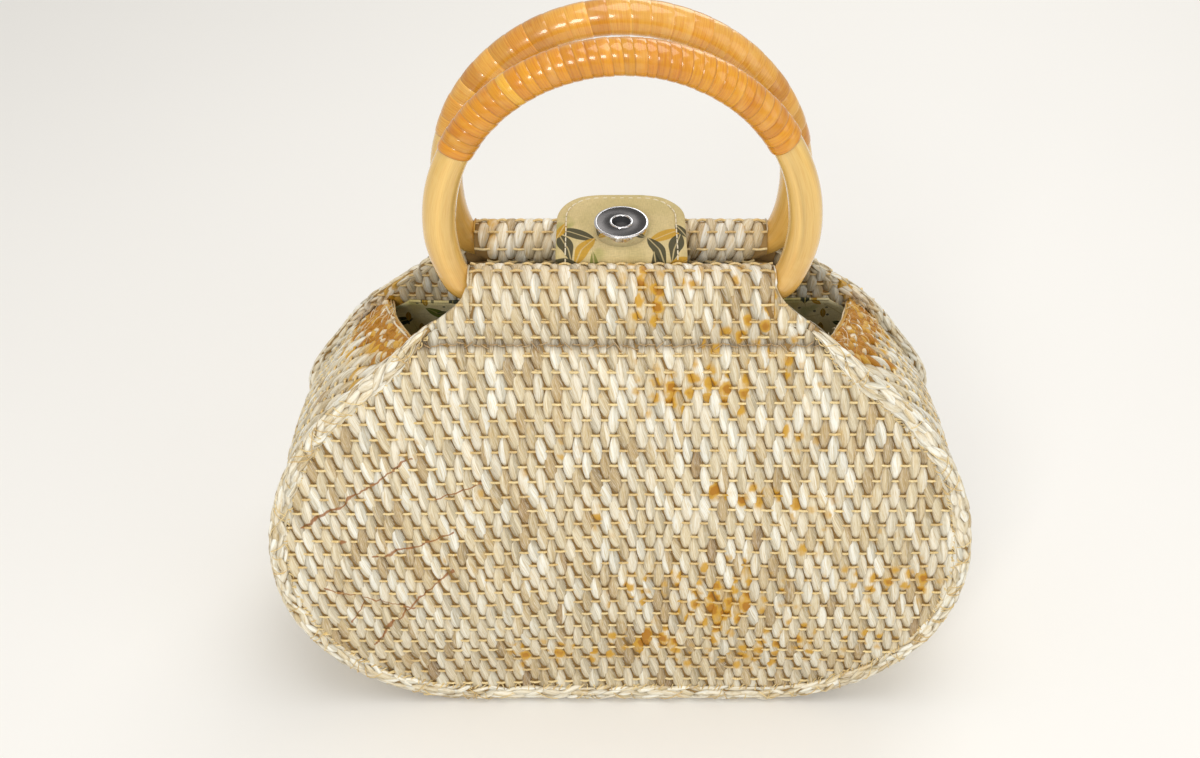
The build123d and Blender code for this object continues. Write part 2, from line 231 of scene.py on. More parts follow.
def face_length(z):
    """Length up a panel's face to a height."""
    return FACE_R * (FOOT - math.pi + np.arcsin(np.clip((z - HEEL) / FACE_R, -1, 1)))


S_SEAM = face_length(SEAM_Z)


def slack(x, z):
    """How far the cloth falls in behind its even curve: over the foot and in soft waves."""
    foot = 2.0 * np.exp(-((z - 17) / 10) ** 2) * smooth(112, 60, np.abs(x))
    wave = 0.7 * np.sin(x / 41 + 0.6) * np.sin(z / 33 + 0.4) + 0.35 * np.sin(x / 17 + z / 29)
    return foot + wave * smooth(0, 30, z) * smooth(152, 125, z)


def pinch(z, share):
    """How the bag draws in over its shoulders, none at the front (share -1) and most at the back (1)."""
    return 1 - 0.03 * (1 + share) * smooth(78, 112, z) * smooth(160, 142, z)


def panel_point(x, s, h, side):
    """Point on a panel's cloth. side is -1 for the front and 1 for the back."""
    y, z, ny, nz = profile(s)
    h = h - slack(side * x, z) * smooth(S_CROWN, S_CROWN - 30, s)
    fold = np.where(s > S_SEAM, 6.0, 1.3)
    h = h - 2.4 * np.exp(-((s - S_SEAM) / fold) ** 2) * smooth(72, 62, np.abs(x))
    y, z = y + h * ny, z + h * nz
    return stacked(x * pinch(z, side), -side * y, z)


def strip_path():
    """Half of the gusset's line in (x, z) from the middle of the base past its end, with outward normals."""
    waist = CORNER[1] - STRIP_DROP
    corner = CORNER[2] - STRIP_INSET
    shoulder = SHOULDER[2] - STRIP_INSET
    base = np.linspace(0, CORNER[0], 60)[:-1]
    low = np.linspace(-math.pi / 2, 0, 120)[:-1]
    high = np.linspace(0, TURN, 80)[:-1]
    run = np.linspace(0, GUSSET_RUN + STRIP_OVERRUN, 60)
    foot = (SHOULDER[0] + shoulder * SLOPE_N[0], waist + shoulder * SLOPE_N[1])
    stretches = (
        (base, base * 0 + waist - corner, base * 0, base * 0 - 1),
        (CORNER[0] + corner * np.cos(low), waist + corner * np.sin(low), np.cos(low), np.sin(low)),
        (SHOULDER[0] + shoulder * np.cos(high), waist + shoulder * np.sin(high), np.cos(high), np.sin(high)),
        (foot[0] - run * SLOPE_N[1], foot[1] + run * SLOPE_N[0], run * 0 + SLOPE_N[0], run * 0 + SLOPE_N[1]),
    )
    x, z, nx, nz = [np.concatenate(values) for values in zip(*stretches)]
    return travelled(x, z), x, z, nx, nz


STRIP = strip_path()
STRIP_HALF = STRIP[0][-1] - STRIP_OVERRUN


def strip_depth(l):
    """Half of the gusset's depth at a length from the middle of the base."""
    z = np.interp(np.abs(l), STRIP[0], STRIP[2])
    return np.sqrt(INNER_R ** 2 - (z - HEEL) ** 2) - FACE_C[0] - STRIP_GAP


def strip_area(half, inset=0.0):
    """Area of a strip of the gusset in square metres, from half its length."""
    along = np.linspace(0, half, 300)
    return square_metres(4 * (strip_depth(along) - inset), along)


def strip_end(v):
    """Length of the gusset at a place across it: its ends stand higher at the front."""
    return STRIP_HALF - STRIP_SKEW * np.asarray(v)


def strip_point(v, l, h, inset=0.0):
    """Point on the gusset: v across as a share of the depth, l along it from the middle of the base."""
    a = np.abs(l)
    px, pz, qx, qz = looked_up(STRIP, a)
    h = h + 3.2 * (1 - np.asarray(v) ** 2) * smooth(70, 170, a)
    z = pz + qz * h
    x = np.sign(l) * (px + qx * h) * pinch(z, np.asarray(v))
    return stacked(x, v * (strip_depth(l) - inset), z)


# Meshes
def grid_faces(rows, cols, close=False):
    """Quads of a grid of points, row by row; close joins the last column to the first."""
    i = np.arange(rows - 1)[:, None]
    j = np.arange(cols if close else cols - 1)[None, :]
    k = (j + 1) % cols
    a, b = i * cols + j, i * cols + k
    c, d = (i + 1) * cols + k, (i + 1) * cols + j
    return np.stack([a, b, c, d], -1).reshape(-1, 4)


def many_grids(count, rows, cols, close=False):
    one = grid_faces(rows, cols, close)
    return (np.arange(count)[:, None, None] * rows * cols + one[None]).reshape(-1, 4)


def two_sided(top, low):
    """Points and faces of a closed sheet between two grids of points."""
    rows, cols, _ = top.shape
    count = rows * cols
    index = np.arange(count).reshape(rows, cols)
    loop = np.concatenate([index[0, :-1], index[:-1, -1], index[-1, :0:-1], index[:0:-1, 0]])
    after = np.roll(loop, -1)
    edge = np.stack([after, loop, loop + count, after + count], -1)
    faces = [grid_faces(rows, cols), grid_faces(rows, cols)[:, ::-1] + count, edge]
    return np.concatenate([top.reshape(-1, 3), low.reshape(-1, 3)]), np.concatenate(faces)


# Mesh attributes by the number of values at a point
KINDS = {1: ("FLOAT", "value"), 3: ("FLOAT_VECTOR", "vector"), 4: ("FLOAT_COLOR", "color")}


def build(name, points, faces, material, slot=None, attributes=(), body="bag", flat=False):
    """A mesh piece that rides on a body. Points are in millimetres."""
    points = np.asarray(points, np.float32).reshape(-1, 3) * MM
    faces = np.asarray(faces, np.int32)
    mesh = bpy.data.meshes.new(name)
    mesh.vertices.add(len(points))
    mesh.vertices.foreach_set("co", points.ravel())
    mesh.loops.add(faces.size)
    mesh.loops.foreach_set("vertex_index", faces.ravel())
    mesh.polygons.add(len(faces))
    mesh.polygons.foreach_set("loop_start", np.arange(len(faces), dtype=np.int32) * faces.shape[1])
    mesh.update(calc_edges=True)
    mesh.validate()
    for key, values in attributes:
        values = np.asarray(values, np.float32)
        kind, field = KINDS[values.size // len(points)]
        mesh.attributes.new(key, kind, "POINT").data.foreach_set(field, values.ravel())
    if not flat:
        mesh.polygons.foreach_set("use_smooth", np.ones(len(mesh.polygons), bool))
    obj = bpy.data.objects.new(name, mesh)
    bpy.context.scene.collection.objects.link(obj)
    mesh.materials.append(material)
    if body:
        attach(obj, body)
    return obj


def colour(rgb):
    """Attribute rows with alpha from an array of linear colours."""
    rgb = np.asarray(rgb, float).reshape(-1, 3)
    return np.concatenate([rgb, np.ones((len(rgb), 1))], 1)


def tubes(paths, radius, sides=6):
    """Round tubes along many paths of the same number of points: (n, k, 3). radius is one value or (n, k)."""
    paths = np.asarray(paths, float)
    n, k, _ = paths.shape
    along = np.gradient(paths, axis=1)
    along /= np.linalg.norm(along, axis=-1, keepdims=True) + 1e-9
    ref = np.zeros_like(along)
    ref[..., 2] = 1
    ref[np.abs(along[..., 2]) > 0.8] = (0, 1, 0)
    a = np.cross(along, ref)
    a /= np.linalg.norm(a, axis=-1, keepdims=True) + 1e-9
    b = np.cross(along, a)
    turn = around(sides)
    r = np.broadcast_to(np.asarray(radius, float), (n, k))[..., None, None]
    ring = np.cos(turn)[:, None] * a[:, :, None, :] + np.sin(turn)[:, None] * b[:, :, None, :]
    points = paths[:, :, None, :] + r * ring
    return points.reshape(-1, 3), many_grids(n, k, sides, True)


# Materials
def material(name, **values):
    mat = bpy.data.materials.new(name)
    mat.use_nodes = True
    shader = mat.node_tree.nodes["Principled BSDF"]
    for key, value in values.items():
        shader.inputs[key.replace("_", " ")].default_value = value
    return mat, mat.node_tree, shader


def add(tree, kind, inputs=(), **settings):
    """A node with its settings; each of its (key, value) inputs is a socket or a constant."""
    node = tree.nodes.new(kind)
    for key, value in settings.items():
        setattr(node, key, value)
    for key, value in inputs:
        socket = node.inputs[key]
        if isinstance(value, bpy.types.NodeSocket):
            tree.links.new(value, socket)
        else:
            socket.default_value = (*value, 1) if socket.type == "RGBA" else value
    return node


def attribute(tree, name, output="Vector"):
    return add(tree, "ShaderNodeAttribute", attribute_name=name).outputs[output]


def mix(tree, share, a, b, blend="MIX"):
    """Colour mix."""
    node = add(tree, "ShaderNodeMix", ((0, share), (6, a), (7, b)), data_type="RGBA", blend_type=blend)
    return node.outputs[2]


def maths(tree, operation, a, b=0.0):
    return add(tree, "ShaderNodeMath", ((0, a), (1, b)), operation=operation).outputs[0]


def vector(tree, operation, a, b=(0, 0, 0)):
    node = add(tree, "ShaderNodeVectorMath", ((0, a), (1, b)), operation=operation)
    return node.outputs["Value" if operation in ("LENGTH", "DOT_PRODUCT") else "Vector"]


def noise(tree, place, scale, detail=3.0, roughness=0.55):
    inputs = (("Vector", place), ("Scale", scale), ("Detail", detail), ("Roughness", roughness))
    return add(tree, "ShaderNodeTexNoise", inputs).outputs["Fac"]


def streaks(tree, place, stretch, detail, roughness=0.55):
    """Noise with its own scale along each axis."""
    return noise(tree, vector(tree, "MULTIPLY", place, stretch), 1.0, detail, roughness)


def ramp(tree, value, low, high, out_low=0.0, out_high=1.0):
    """A smooth step between two outputs."""
    limits = (("From Min", low), ("From Max", high), ("To Min", out_low), ("To Max", out_high))
    node = add(tree, "ShaderNodeMapRange", (("Value", value), *limits), interpolation_type="SMOOTHSTEP")
    return node.outputs["Result"]


def bump(tree, shader, height_map, strength, distance):
    inputs = (("Strength", strength), ("Distance", distance), ("Height", height_map))
    tree.links.new(add(tree, "ShaderNodeBump", inputs).outputs["Normal"], shader.inputs["Normal"])


# Splashes on the front panel, as lines in (x, z) with a half width
SPLASHES = (
    ((-109, 82), (-95, 90), 0.55),
    ((-95, 90), (-70, 108), 0.35),
    ((-86, 69), (-76, 72), 0.45),
    ((-76, 72), (-58, 79), 0.35),
    ((-88, 29), (-80, 41), 0.5),
    ((-80, 41), (-58, 64), 0.35),
    ((-103, 55), (-72, 47), 0.3),
    ((-96, 75), (-95.2, 75.6), 0.8),
    ((-64, 92), (-47, 99), 0.3),
    ((-95, 40), (-90, 49), 0.3),
)


def splash_share(tree):
    """How much of a splash line lies at a place on the front panel."""
    place = attribute(tree, "place")
    drift = add(tree, "ShaderNodeTexNoise", (("Vector", place), ("Scale", 0.16))).outputs["Color"]
    wander = vector(tree, "SUBTRACT", drift, (0.5, 0.5, 0.5))
    wander = vector(tree, "MULTIPLY", wander, (5.0, 5.0, 0.0))
    place = vector(tree, "ADD", place, wander)
    total = 0.0
    for (ax, az), (bx, bz), width in SPLASHES:
        run = (bx - ax, bz - az, 0)
        scale = 1 / (run[0] ** 2 + run[1] ** 2)
        rel = vector(tree, "SUBTRACT", place, (ax, az, 0))
        share = vector(tree, "DOT_PRODUCT", rel, tuple(c * scale for c in run))
        share = add(tree, "ShaderNodeClamp", (("Value", share),)).outputs[0]
        foot = add(tree, "ShaderNodeVectorMath", ((0, run), ("Scale", share)), operation="SCALE")
        gap = vector(tree, "LENGTH", vector(tree, "SUBTRACT", rel, foot.outputs["Vector"]))
        line = ramp(tree, gap, width * 0.55, width * 1.35, 1.0, 0.0)
        total = maths(tree, "MAXIMUM", total, line)
    return total


def straw_material(name, splashes=False):
    """Straw: each strip has its own tint, lengthwise fibres and brown stains."""
    mat, tree, shader = material(name, Roughness=0.45, Specular_IOR_Level=0.45)
    tint = attribute(tree, "tint", "Color")
    fibre = attribute(tree, "fibre")
    stain = attribute(tree, "stain", "Fac")
    streak = streaks(tree, fibre, (2.4, 0.2, 1.0), 3.0, 0.6)
    fine = streaks(tree, fibre, (6.5, 0.35, 1.0), 2.0, 0.5)
    patch = streaks(tree, fibre, (0.3, 0.2, 1.0), 1.0, 0.5)
    gold = mix(tree, 1.0, tint, linear(226, 208, 170), "MULTIPLY")
    base = mix(tree, ramp(tree, streak, 0.42, 0.66, 0.0, 0.75), tint, gold)
    base = mix(tree, ramp(tree, fine, 0.42, 0.75, 0.0, 0.5), base, linear(252, 247, 232))
    reach = maths(tree, "MINIMUM", maths(tree, "MULTIPLY", stain, 1.6), 0.8)
    uneven = maths(tree, "MULTIPLY", maths(tree, "SUBTRACT", patch, 0.5), reach)
    soak = maths(tree, "ADD", stain, uneven)
    base = mix(tree, ramp(tree, soak, 0.16, 0.66, 0.0, 0.9), base, linear(208, 156, 10))
    base = mix(tree, ramp(tree, soak, 0.66, 1.25, 0.0, 0.9), base, linear(174, 113, 2))
    if splashes:
        base = mix(tree, maths(tree, "MULTIPLY", splash_share(tree), 0.85), base, linear(152, 90, 20))
    tree.links.new(base, shader.inputs["Base Color"])
    tree.links.new(ramp(tree, streak, 0.3, 0.7, 0.34, 0.55), shader.inputs["Roughness"])
    bump(tree, shader, maths(tree, "ADD", streak, fine), 0.35, 0.0004)
    return mat


# Cloth under the floats: a brown darker than the straw, as painted shade in the gaps between floats.
def ground_material(name):
    mat, tree, shader = material(name, Roughness=0.8, Specular_IOR_Level=0.1)
    place = add(tree, "ShaderNodeTexCoord").outputs["Object"]
    base = mix(tree, noise(tree, place, 300.0), linear(138, 106, 62), linear(172, 142, 92))
    tree.links.new(base, shader.inputs["Base Color"])
    return mat


def leaf(tree, local, angle, long, half, edge, vein):
    """Shares of a leaf's blade and of its vein, at a place measured from the leaf's middle."""
    inputs = (("Vector", local), ("Angle", angle))
    spin = add(tree, "ShaderNodeVectorRotate", inputs, rotation_type="Z_AXIS").outputs["Vector"]
    axes = add(tree, "ShaderNodeSeparateXYZ", ((0, spin),)).outputs
    across = maths(tree, "ABSOLUTE", axes[0])
    along = maths(tree, "DIVIDE", axes[1], long)
    room = maths(tree, "SUBTRACT", 1.0, maths(tree, "MULTIPLY", along, along))
    blade = ramp(tree, maths(tree, "SUBTRACT", maths(tree, "MULTIPLY", room, half), across), *edge)
    return blade, maths(tree, "MULTIPLY", ramp(tree, across, *vein), blade)


def placed_leaves(tree, place, base, ground, leaves):
    """Leaves at given places over a ground colour."""
    for at, angle, long, half, tone in leaves:
        local = vector(tree, "SUBTRACT", place, (*at, 0))
        blade, vein = leaf(tree, local, math.radians(angle), long, half, (-0.05, 0.15), (0.12, 0.3, 0.7, 0.0))
        base = mix(tree, maths(tree, "MULTIPLY", blade, 0.92), base, linear(*tone))
        base = mix(tree, vein, base, ground)
    return base


def cells_of(tree, place, randomness=1.0):
    """A flat scatter of cells: its outputs, and three random values for each cell."""
    inputs = (("Vector", place), ("Scale", 1.0), ("Randomness", randomness))
    cells = add(tree, "ShaderNodeTexVoronoi", inputs, voronoi_dimensions="2D").outputs
    return cells, add(tree, "ShaderNodeSeparateColor", ((0, cells["Color"]),)).outputs


def scattered_print(tree, place, base, scale):
    """Leaves of two sizes and small dots, scattered at random."""
    for size, half, long, tones in (
        (1.0, 0.17, 0.42, (linear(44, 58, 46), linear(108, 122, 40))),
        (1.75, 0.15, 0.36, (linear(196, 150, 42), linear(66, 82, 44))),
    ):
        shift = vector(tree, "ADD", place, (13.0 * size, 7.0 * size, 0))
        shift = vector(tree, "MULTIPLY", shift, (scale * size,) * 3)
        cells, chance = cells_of(tree, shift, 0.75)
        local = vector(tree, "SUBTRACT", shift, cells["Position"])
        angle = maths(tree, "MULTIPLY", chance[0], 6.283)
        blade, vein = leaf(tree, local, angle, long, half, (-0.004, 0.012), (0.012, 0.026, 1.0, 0.0))
        tone = mix(tree, ramp(tree, chance[1], 0.45, 0.55), *tones)
        keep = maths(tree, "MULTIPLY", blade, ramp(tree, chance[2], 0.18, 0.22))
        base = mix(tree, keep, base, tone)
        base = mix(tree, maths(tree, "MULTIPLY", vein, 0.6), base, linear(206, 190, 120))
    cells, chance = cells_of(tree, vector(tree, "MULTIPLY", place, (scale * 2.6,) * 3))
    spot = ramp(tree, cells["Distance"], 0.10, 0.13, 1.0, 0.0)
    spot = maths(tree, "MULTIPLY", spot, ramp(tree, chance[0], 0.55, 0.6))
    return mix(tree, maths(tree, "MULTIPLY", spot, 0.8), base, linear(52, 62, 50))


def print_material(name, scale, ground, shade, leaves=()):
    """Printed cotton: leaves at given places, or leaves and dots scattered, over a fine thread weave."""
    mat, tree, shader = material(name, Roughness=0.82, Specular_IOR_Level=0.2)
    place = attribute(tree, "cloth")
    blotch = noise(tree, place, 0.055, 2.0)
    base = mix(tree, ramp(tree, blotch, 0.42, 0.62), ground, shade)
    wash = noise(tree, vector(tree, "ADD", place, (40, 17, 0)), 0.075, 2.0)
    base = mix(tree, ramp(tree, wash, 0.56, 0.68, 0.0, 0.5), base, linear(150, 158, 70))
    if leaves:
        base = placed_leaves(tree, place, base, ground, leaves)
    else:
        base = scattered_print(tree, place, base, scale)
    threads = streaks(tree, place, (4.0, 0.5, 1.0), 2.0)
    cross = streaks(tree, place, (0.5, 4.0, 1.0), 2.0)
    grain = maths(tree, "ADD", threads, cross)
    base = mix(tree, ramp(tree, grain, 0.6, 1.4, 0.0, 0.3), base, linear(110, 92, 58))
    tree.links.new(base, shader.inputs["Base Color"])
    bump(tree, shader, grain, 0.25, 0.0002)
    return mat


def cane_material(name, rough, coat, grain):
    """Lacquered cane: tint for each turn, fibres along the strip."""
    mat, tree, shader = material(name, Roughness=rough, Coat_Weight=coat, Coat_Roughness=0.06)
    tint = attribute(tree, "tint", "Color")
    fibre = attribute(tree, "fibre")
    streak = streaks(tree, fibre, (3.2, 0.1, 1.0), 3.0, 0.6)
    cloud = noise(tree, fibre, 0.12, 2.0)
    deep = mix(tree, 1.0, tint, linear(230, 194, 138), "MULTIPLY")
    pale = mix(tree, 0.4, tint, linear(248, 214, 140))
    base = mix(tree, ramp(tree, streak, 0.4, 0.68, 0.0, grain), tint, deep)
    base = mix(tree, ramp(tree, cloud, 0.52, 0.75, 0.0, 0.5), base, pale)
    tree.links.new(base, shader.inputs["Base Color"])
    bump(tree, shader, streak, 0.2 * grain, 0.0003)
    return mat


def plain(name, rgb, rough, metal=0.0, amount=0.12):
    """A plain finish with faint mottling."""
    mat, tree, shader = material(name, Roughness=rough, Metallic=metal)
    place = add(tree, "ShaderNodeTexCoord").outputs["Object"]
    share = ramp(tree, noise(tree, place, 400.0), 0.3, 0.7, 0.0, amount)
    base = mix(tree, share, rgb, tuple(c * 0.55 for c in rgb))
    tree.links.new(base, shader.inputs["Base Color"])
    return mat


# Leaves on the tab: place, angle, half length, half width and tone
SLATE, MUSTARD, OLIVE = (44, 52, 42), (204, 158, 46), (126, 134, 62)
TAB_LEAVES = (
    ((-14.5, -24), -60, 7.5, 2.6, SLATE),
    ((-18.5, -29), -20, 6.5, 2.5, SLATE),
    ((-12, -31), 35, 6.0, 2.3, MUSTARD),
    ((-17, -37), -75, 6.5, 2.6, SLATE),
    ((-8.5, -38), -10, 5.5, 2.0, OLIVE),
    ((-19.8, -21), 20, 4.5, 1.7, MUSTARD),
    ((-10.5, -43), 50, 6.0, 2.3, SLATE),
    ((14.5, -24.5), 55, 7.0, 2.5, MUSTARD),
    ((18, -29), 15, 6.5, 2.5, SLATE),
    ((11.5, -31), -30, 6.0, 2.2, SLATE),
    ((18.5, -36.5), 70, 5.5, 2.4, MUSTARD),
    ((12, -38.5), -15, 6.0, 2.3, SLATE),
    ((5, -41), 30, 5.0, 1.8, OLIVE),
    ((20, -21.5), -30, 4.2, 1.6, SLATE),
    ((15.5, -43.5), 60, 6.0, 2.2, OLIVE),
)

straw = straw_material("straw")
straw_front = straw_material("straw_front", True)
ground = ground_material("straw_ground")
lining_print = print_material("lining_print", 0.075, linear(252, 240, 192), linear(236, 220, 150))
tab_print = print_material("tab_print", 0.05, linear(220, 202, 150), linear(208, 192, 138), TAB_LEAVES)
rattan = cane_material("rattan", 0.26, 1.0, 0.3)
cane = cane_material("cane", 0.3, 0.7, 0.7)
thread = plain("thread", linear(236, 226, 198), 0.7)
chrome = plain("chrome", linear(222, 222, 224), 0.12, 1.0, 0.05)
gunmetal = plain("gunmetal", linear(92, 90, 90), 0.26, 1.0, 0.3)
steel = plain("steel", linear(190, 190, 188), 0.35, 1.0)
ferrite = plain("ferrite", linear(70, 70, 72), 0.5)


# Straw tints: bleached ivory to tan
TINTS = np.array([linear(*c) for c in (
    (248, 246, 234), (240, 232, 211), (229, 216, 184), (213, 194, 153), (195, 170, 122), (176, 146, 96),
)])
WEIGHTS = np.array([0.22, 0.3, 0.26, 0.15, 0.06, 0.01])
PALE = np.array([0.36, 0.36, 0.2, 0.06, 0.02, 0.0])
WEFT_TINTS = np.array([linear(236, 208, 140), linear(244, 220, 158), linear(224, 192, 122)])

# Lines along a float, from edge to edge, with its ridge in the middle
RIBS = np.array([-1.0, -0.93, -0.5, -0.04, 0.04, 0.5, 0.93, 1.0])
RIDGE_RIB = 3


def straw_tints(count, shares=WEIGHTS):
    base = TINTS[rng.choice(len(TINTS), count, p=shares)]
    return base * rng.normal(1.0, 0.045, (count, 1)).clip(0.85, 1.1)


def straw_attributes(tint, fibre, stain):
    return [("tint", colour(tint)), ("fibre", fibre.reshape(-1, 3)), ("stain", stain.reshape(-1))]


def grains(cx, cs, sizes, place, stain, steps=9, shares=WEIGHTS):
    """Lens-shaped floats of straw, each folded along a slanting ridge, that rise over one weft and dive under
    the next on either side. sizes holds their half lengths, half widths, lifts and slants. place maps
    (across, along, height) to points; stain maps across and along to a share."""
    n = len(cx)
    shape = lambda a: np.asarray(a, float).reshape(n, 1, 1)
    cx, cs, half_length, half_width, lift, slant = [shape(a) for a in (cx, cs, *sizes)]
    t = np.linspace(-1, 1, steps)[None, :, None]
    c = RIBS[None, None, :]
    belly = np.clip(np.cos(t * math.pi / 2), 1e-6, 1)
    ridge = shape(rng.normal(0.0, 0.2, n)) - shape(rng.normal(0.55, 0.25, n)) * t
    ridge = np.clip(ridge, -0.85, 0.85)
    u = np.where(c < 0, ridge + c * (1 + ridge), ridge + c * (1 - ridge))
    wide = 0.32 + 0.68 * belly ** shape(rng.uniform(0.68, 1.0, n))
    x = cx + u * half_width * wide + slant * t * half_length
    s = cs + t * half_length + 0 * u
    crest = GROUND_H + (lift - GROUND_H) * belly ** 0.62
    lit_left = shape(rng.random(n) < 0.7) > 0.5
    steep = shape(rng.uniform(0.4, 0.8, n))
    gentle = shape(rng.uniform(0.02, 0.22, n))
    far = (c > 0) == lit_left
    h = crest - np.where(far, steep, gentle) * np.abs(c) ** 1.2 * (0.35 + 0.65 * belly)
    h = np.where(np.abs(c) > 0.98, np.minimum(h, 0.1) - 0.6, h)
    points = place(x, s, h)
    first = straw_tints(n, shares)
    # Painted shade: most floats get a darker copy of their tint on the facet turned away from the light; the
    # rest get a second tint of their own on that facet.
    far_in_shade = rng.random((n, 1)) < 0.78
    shaded = first * rng.uniform(0.66, 0.94, (n, 1)) * (1.0, 0.97, 0.9)
    second = np.where(far_in_shade, shaded, straw_tints(n, shares))
    tint = np.where(far[..., None], second[:, None, None], first[:, None, None])
    # Painted shade: darker where the float sinks low towards the ground, and along its edges beside the gaps.
    gap_shade = (0.68 + 0.32 * smooth(-0.5, 0.25, h)) * np.where(np.abs(c) > 0.9, 0.72, 1.0)
    tint = tint * gap_shade[..., None] ** (0.9, 1.0, 1.15)
    fibre = stacked((u - ridge) * half_width, t * half_length, shape(rng.uniform(0, 90, n)))
    amount = stain(x, s) * shape(0.1 + 1.9 * rng.random(n) ** 1.9)
    faces = many_grids(n, steps, len(RIBS))
    mid = steps // 2
    at = points[0, mid, RIDGE_RIB]
    across = points[0, mid, RIDGE_RIB + 1] - at
    along = points[0, mid + 1, RIDGE_RIB] - at
    up = place(x[:1], s[:1], h[:1] + 0.1)[0, mid, RIDGE_RIB] - at
    if np.dot(np.cross(across, along), up) < 0:
        faces = faces[:, ::-1]
    flat = stacked(x, s, 0 * h).reshape(-1, 3)
    return points.reshape(-1, 3), faces, straw_attributes(tint, fibre, amount), flat


def wefts(lines, stain, place, radius=0.47):
    """Thin strands across the columns. lines holds (across, along, height) points, as many for each."""
    flat = np.array(lines, float)
    across, along, rise = np.moveaxis(flat, -1, 0)
    points, faces = tubes(place(across, along, rise), radius, STRAND_SIDES)
    n, k = across.shape
    round_it = lambda values: np.repeat(values[:, :, None], STRAND_SIDES, 2)
    tint = WEFT_TINTS[rng.choice(len(WEFT_TINTS), n)][:, None] * rng.normal(1, 0.06, (n, k, 1))
    fibre = stacked(rng.uniform(0, 50, (n, k)), across, along)
    amount = stain(across, along) * 0.45
    attributes = straw_attributes(round_it(tint), round_it(fibre), round_it(amount))
    return points, faces, attributes, round_it(flat).reshape(-1, 3)


def straw_piece(name, *sets, finish=straw):
    """Several sets of (points, faces, attributes) as one piece of straw."""
    start, points, faces, values = 0, [], [], {}
    for p, f, a, *_ in sets:
        points.append(p)
        faces.append(f + start)
        start += len(p)
        for key, value in a:
            values.setdefault(key, []).append(value)
    attributes = [(key, np.concatenate(parts)) for key, parts in values.items()]
    return build(name, np.concatenate(points), np.concatenate(faces), finish, "woven_straw", attributes)


def crossings(columns, rows):
    """Column and row numbers of the crossings where a float lies on top."""
    i, j = np.meshgrid(columns, rows, indexing="ij")
    over = (i + j) % 2 == 0
    return i[over], j[over]


def dip(phase):
    """Height of a weft: low under the floats that cross it."""
    return 0.12 - 0.42 * np.cos(math.pi * phase)


# Stains on the front panel: (x, z, half sizes, strength)
STAINS = (
    (22, 132, 17, 8, 0.5), (10, 134, 7, 6, 0.5), (35, 131, 6, 6, 0.5), (41, 95, 14, 3.5, 1.15),
    (50, 94, 5, 3, 0.8), (7, 31, 11, 5, 1.0), (35, 50, 28, 10, 0.42), (65, 31, 32, 9, 0.36),
    (25, 44, 20, 8, 0.45), (84, 59, 16, 7, 0.35), (42, 66, 15, 6, 0.5), (103, 61, 8, 10, 0.55),
    (-9, 86, 8, 4, 0.5), (44, 160, 9, 10, 0.4), (52, 150, 6, 8, 0.45), (10, 160, 7, 9, 0.45),
    (62, 90, 13, 5, 0.4), (-104, 62, 5, 4, 0.6), (14, 166, 11, 3, 0.45), (30, 150, 16, 5, 0.35),
    (70, 78, 19, 6, 0.3), (20, 58, 18, 6, 0.45), (-30, 24, 22, 6, 0.22), (58, 138, 13, 8, 0.3),
    (-20, 112, 40, 20, 0.14), (20, 22, 60, 9, 0.3), (-62, 70, 20, 12, 0.12), (60, 116, 14, 6, 0.25),
)


def front_stain(x, s):
    z = height(np.minimum(s, S_CROWN + 14))
    total = 0.05 + 0.05 * np.sin(x / 9 + s / 7) * np.sin(x / 5.3 - s / 11)
    for cx, cz, rx, rz, strength in STAINS:
        total = total + strength * np.exp(-((x - cx) / rx) ** 2 - ((z - cz) / rz) ** 2)
    spots = np.sin(x * 0.71 + s * 0.37 + np.sin(s * 0.23)) * np.sin(x * 0.33 - s * 0.62 + 1.0)
    return np.clip(total * (0.4 + 1.1 * smooth(-0.1, 0.7, spots)), 0, 1.4)


def back_stain(x, s):
    total = 0.07 + 0.08 * np.sin(x / 13 + s / 17) * np.sin(x / 7.3 - s / 15)
    total = total + 0.5 * np.exp(-((np.abs(x) - 50) / 8) ** 2 - ((s - S_CROWN - 5) / 12) ** 2)
    return np.clip(total, 0, 1)


def cloth_reach(s):
    """Half width of a panel's cloth; the sleeve's inner wall stops short of the slopes."""
    return outline_x(np.clip(height(s), 0.5, None)) - 14 * smooth(S_WALL - 5, S_WALL + 5, s)


def sway(x, s):
    """How far the columns drift and the rows wave from an even grid, less towards the sleeve."""
    drift = 1.1 * np.sin(s / 52 + x / 90) * smooth(S_CROWN, S_CROWN - 60, s)
    wave = 0.9 * np.sin(x / 43 + 0.7) + 0.5 * np.sin(x / 21 + s / 40)
    return drift, wave * smooth(S_CROWN - 6, S_CROWN - 50, s)


def weft_line(x, row):
    """One weft's (across, along, height) points: it dips under the floats, and lies low behind the tab."""
    s_row = FIRST_ROW + row * ROW
    drift, wave = sway(x, s_row)
    h = dip((x - drift) / COLUMN + row)
    if s_row > S_WALL - 3:
        h = np.where(np.abs(x) < TAB_ROOM, np.minimum(h, -0.6), h)
    return stacked(x, np.clip(s_row + wave, 0.8, S_END), h)


def panel_place(spots):
    """Attribute with the place in (x, z) of points given by (across, along)."""
    z = height(np.minimum(spots[:, 1], S_CROWN))
    return "place", stacked(spots[:, 0], z, 0 * z)


def flap_ground(sign, place):
    """The plain cloth under the straws of a corner."""
    rows, cols = 26, 7
    s = np.linspace(S_SEAM + 1, S_TOP, rows)[:, None]
    z = height(s)
    inner = outline_x(z) - 2.0
    outer = np.maximum(flap_x(z) - 0.8, inner + 0.2)
    x = sign * (inner + (outer - inner) * np.linspace(0, 1, cols))
    spots = stacked(x, s, 0 * x).reshape(-1, 3)
    tint = np.tile(linear(206, 184, 138), (len(spots), 1))
    points = place(x, s + 0 * x, GROUND_H).reshape(-1, 3)
    return points, grid_faces(rows, cols), straw_attributes(tint, spots, 0 * spots[:, 0]), spots


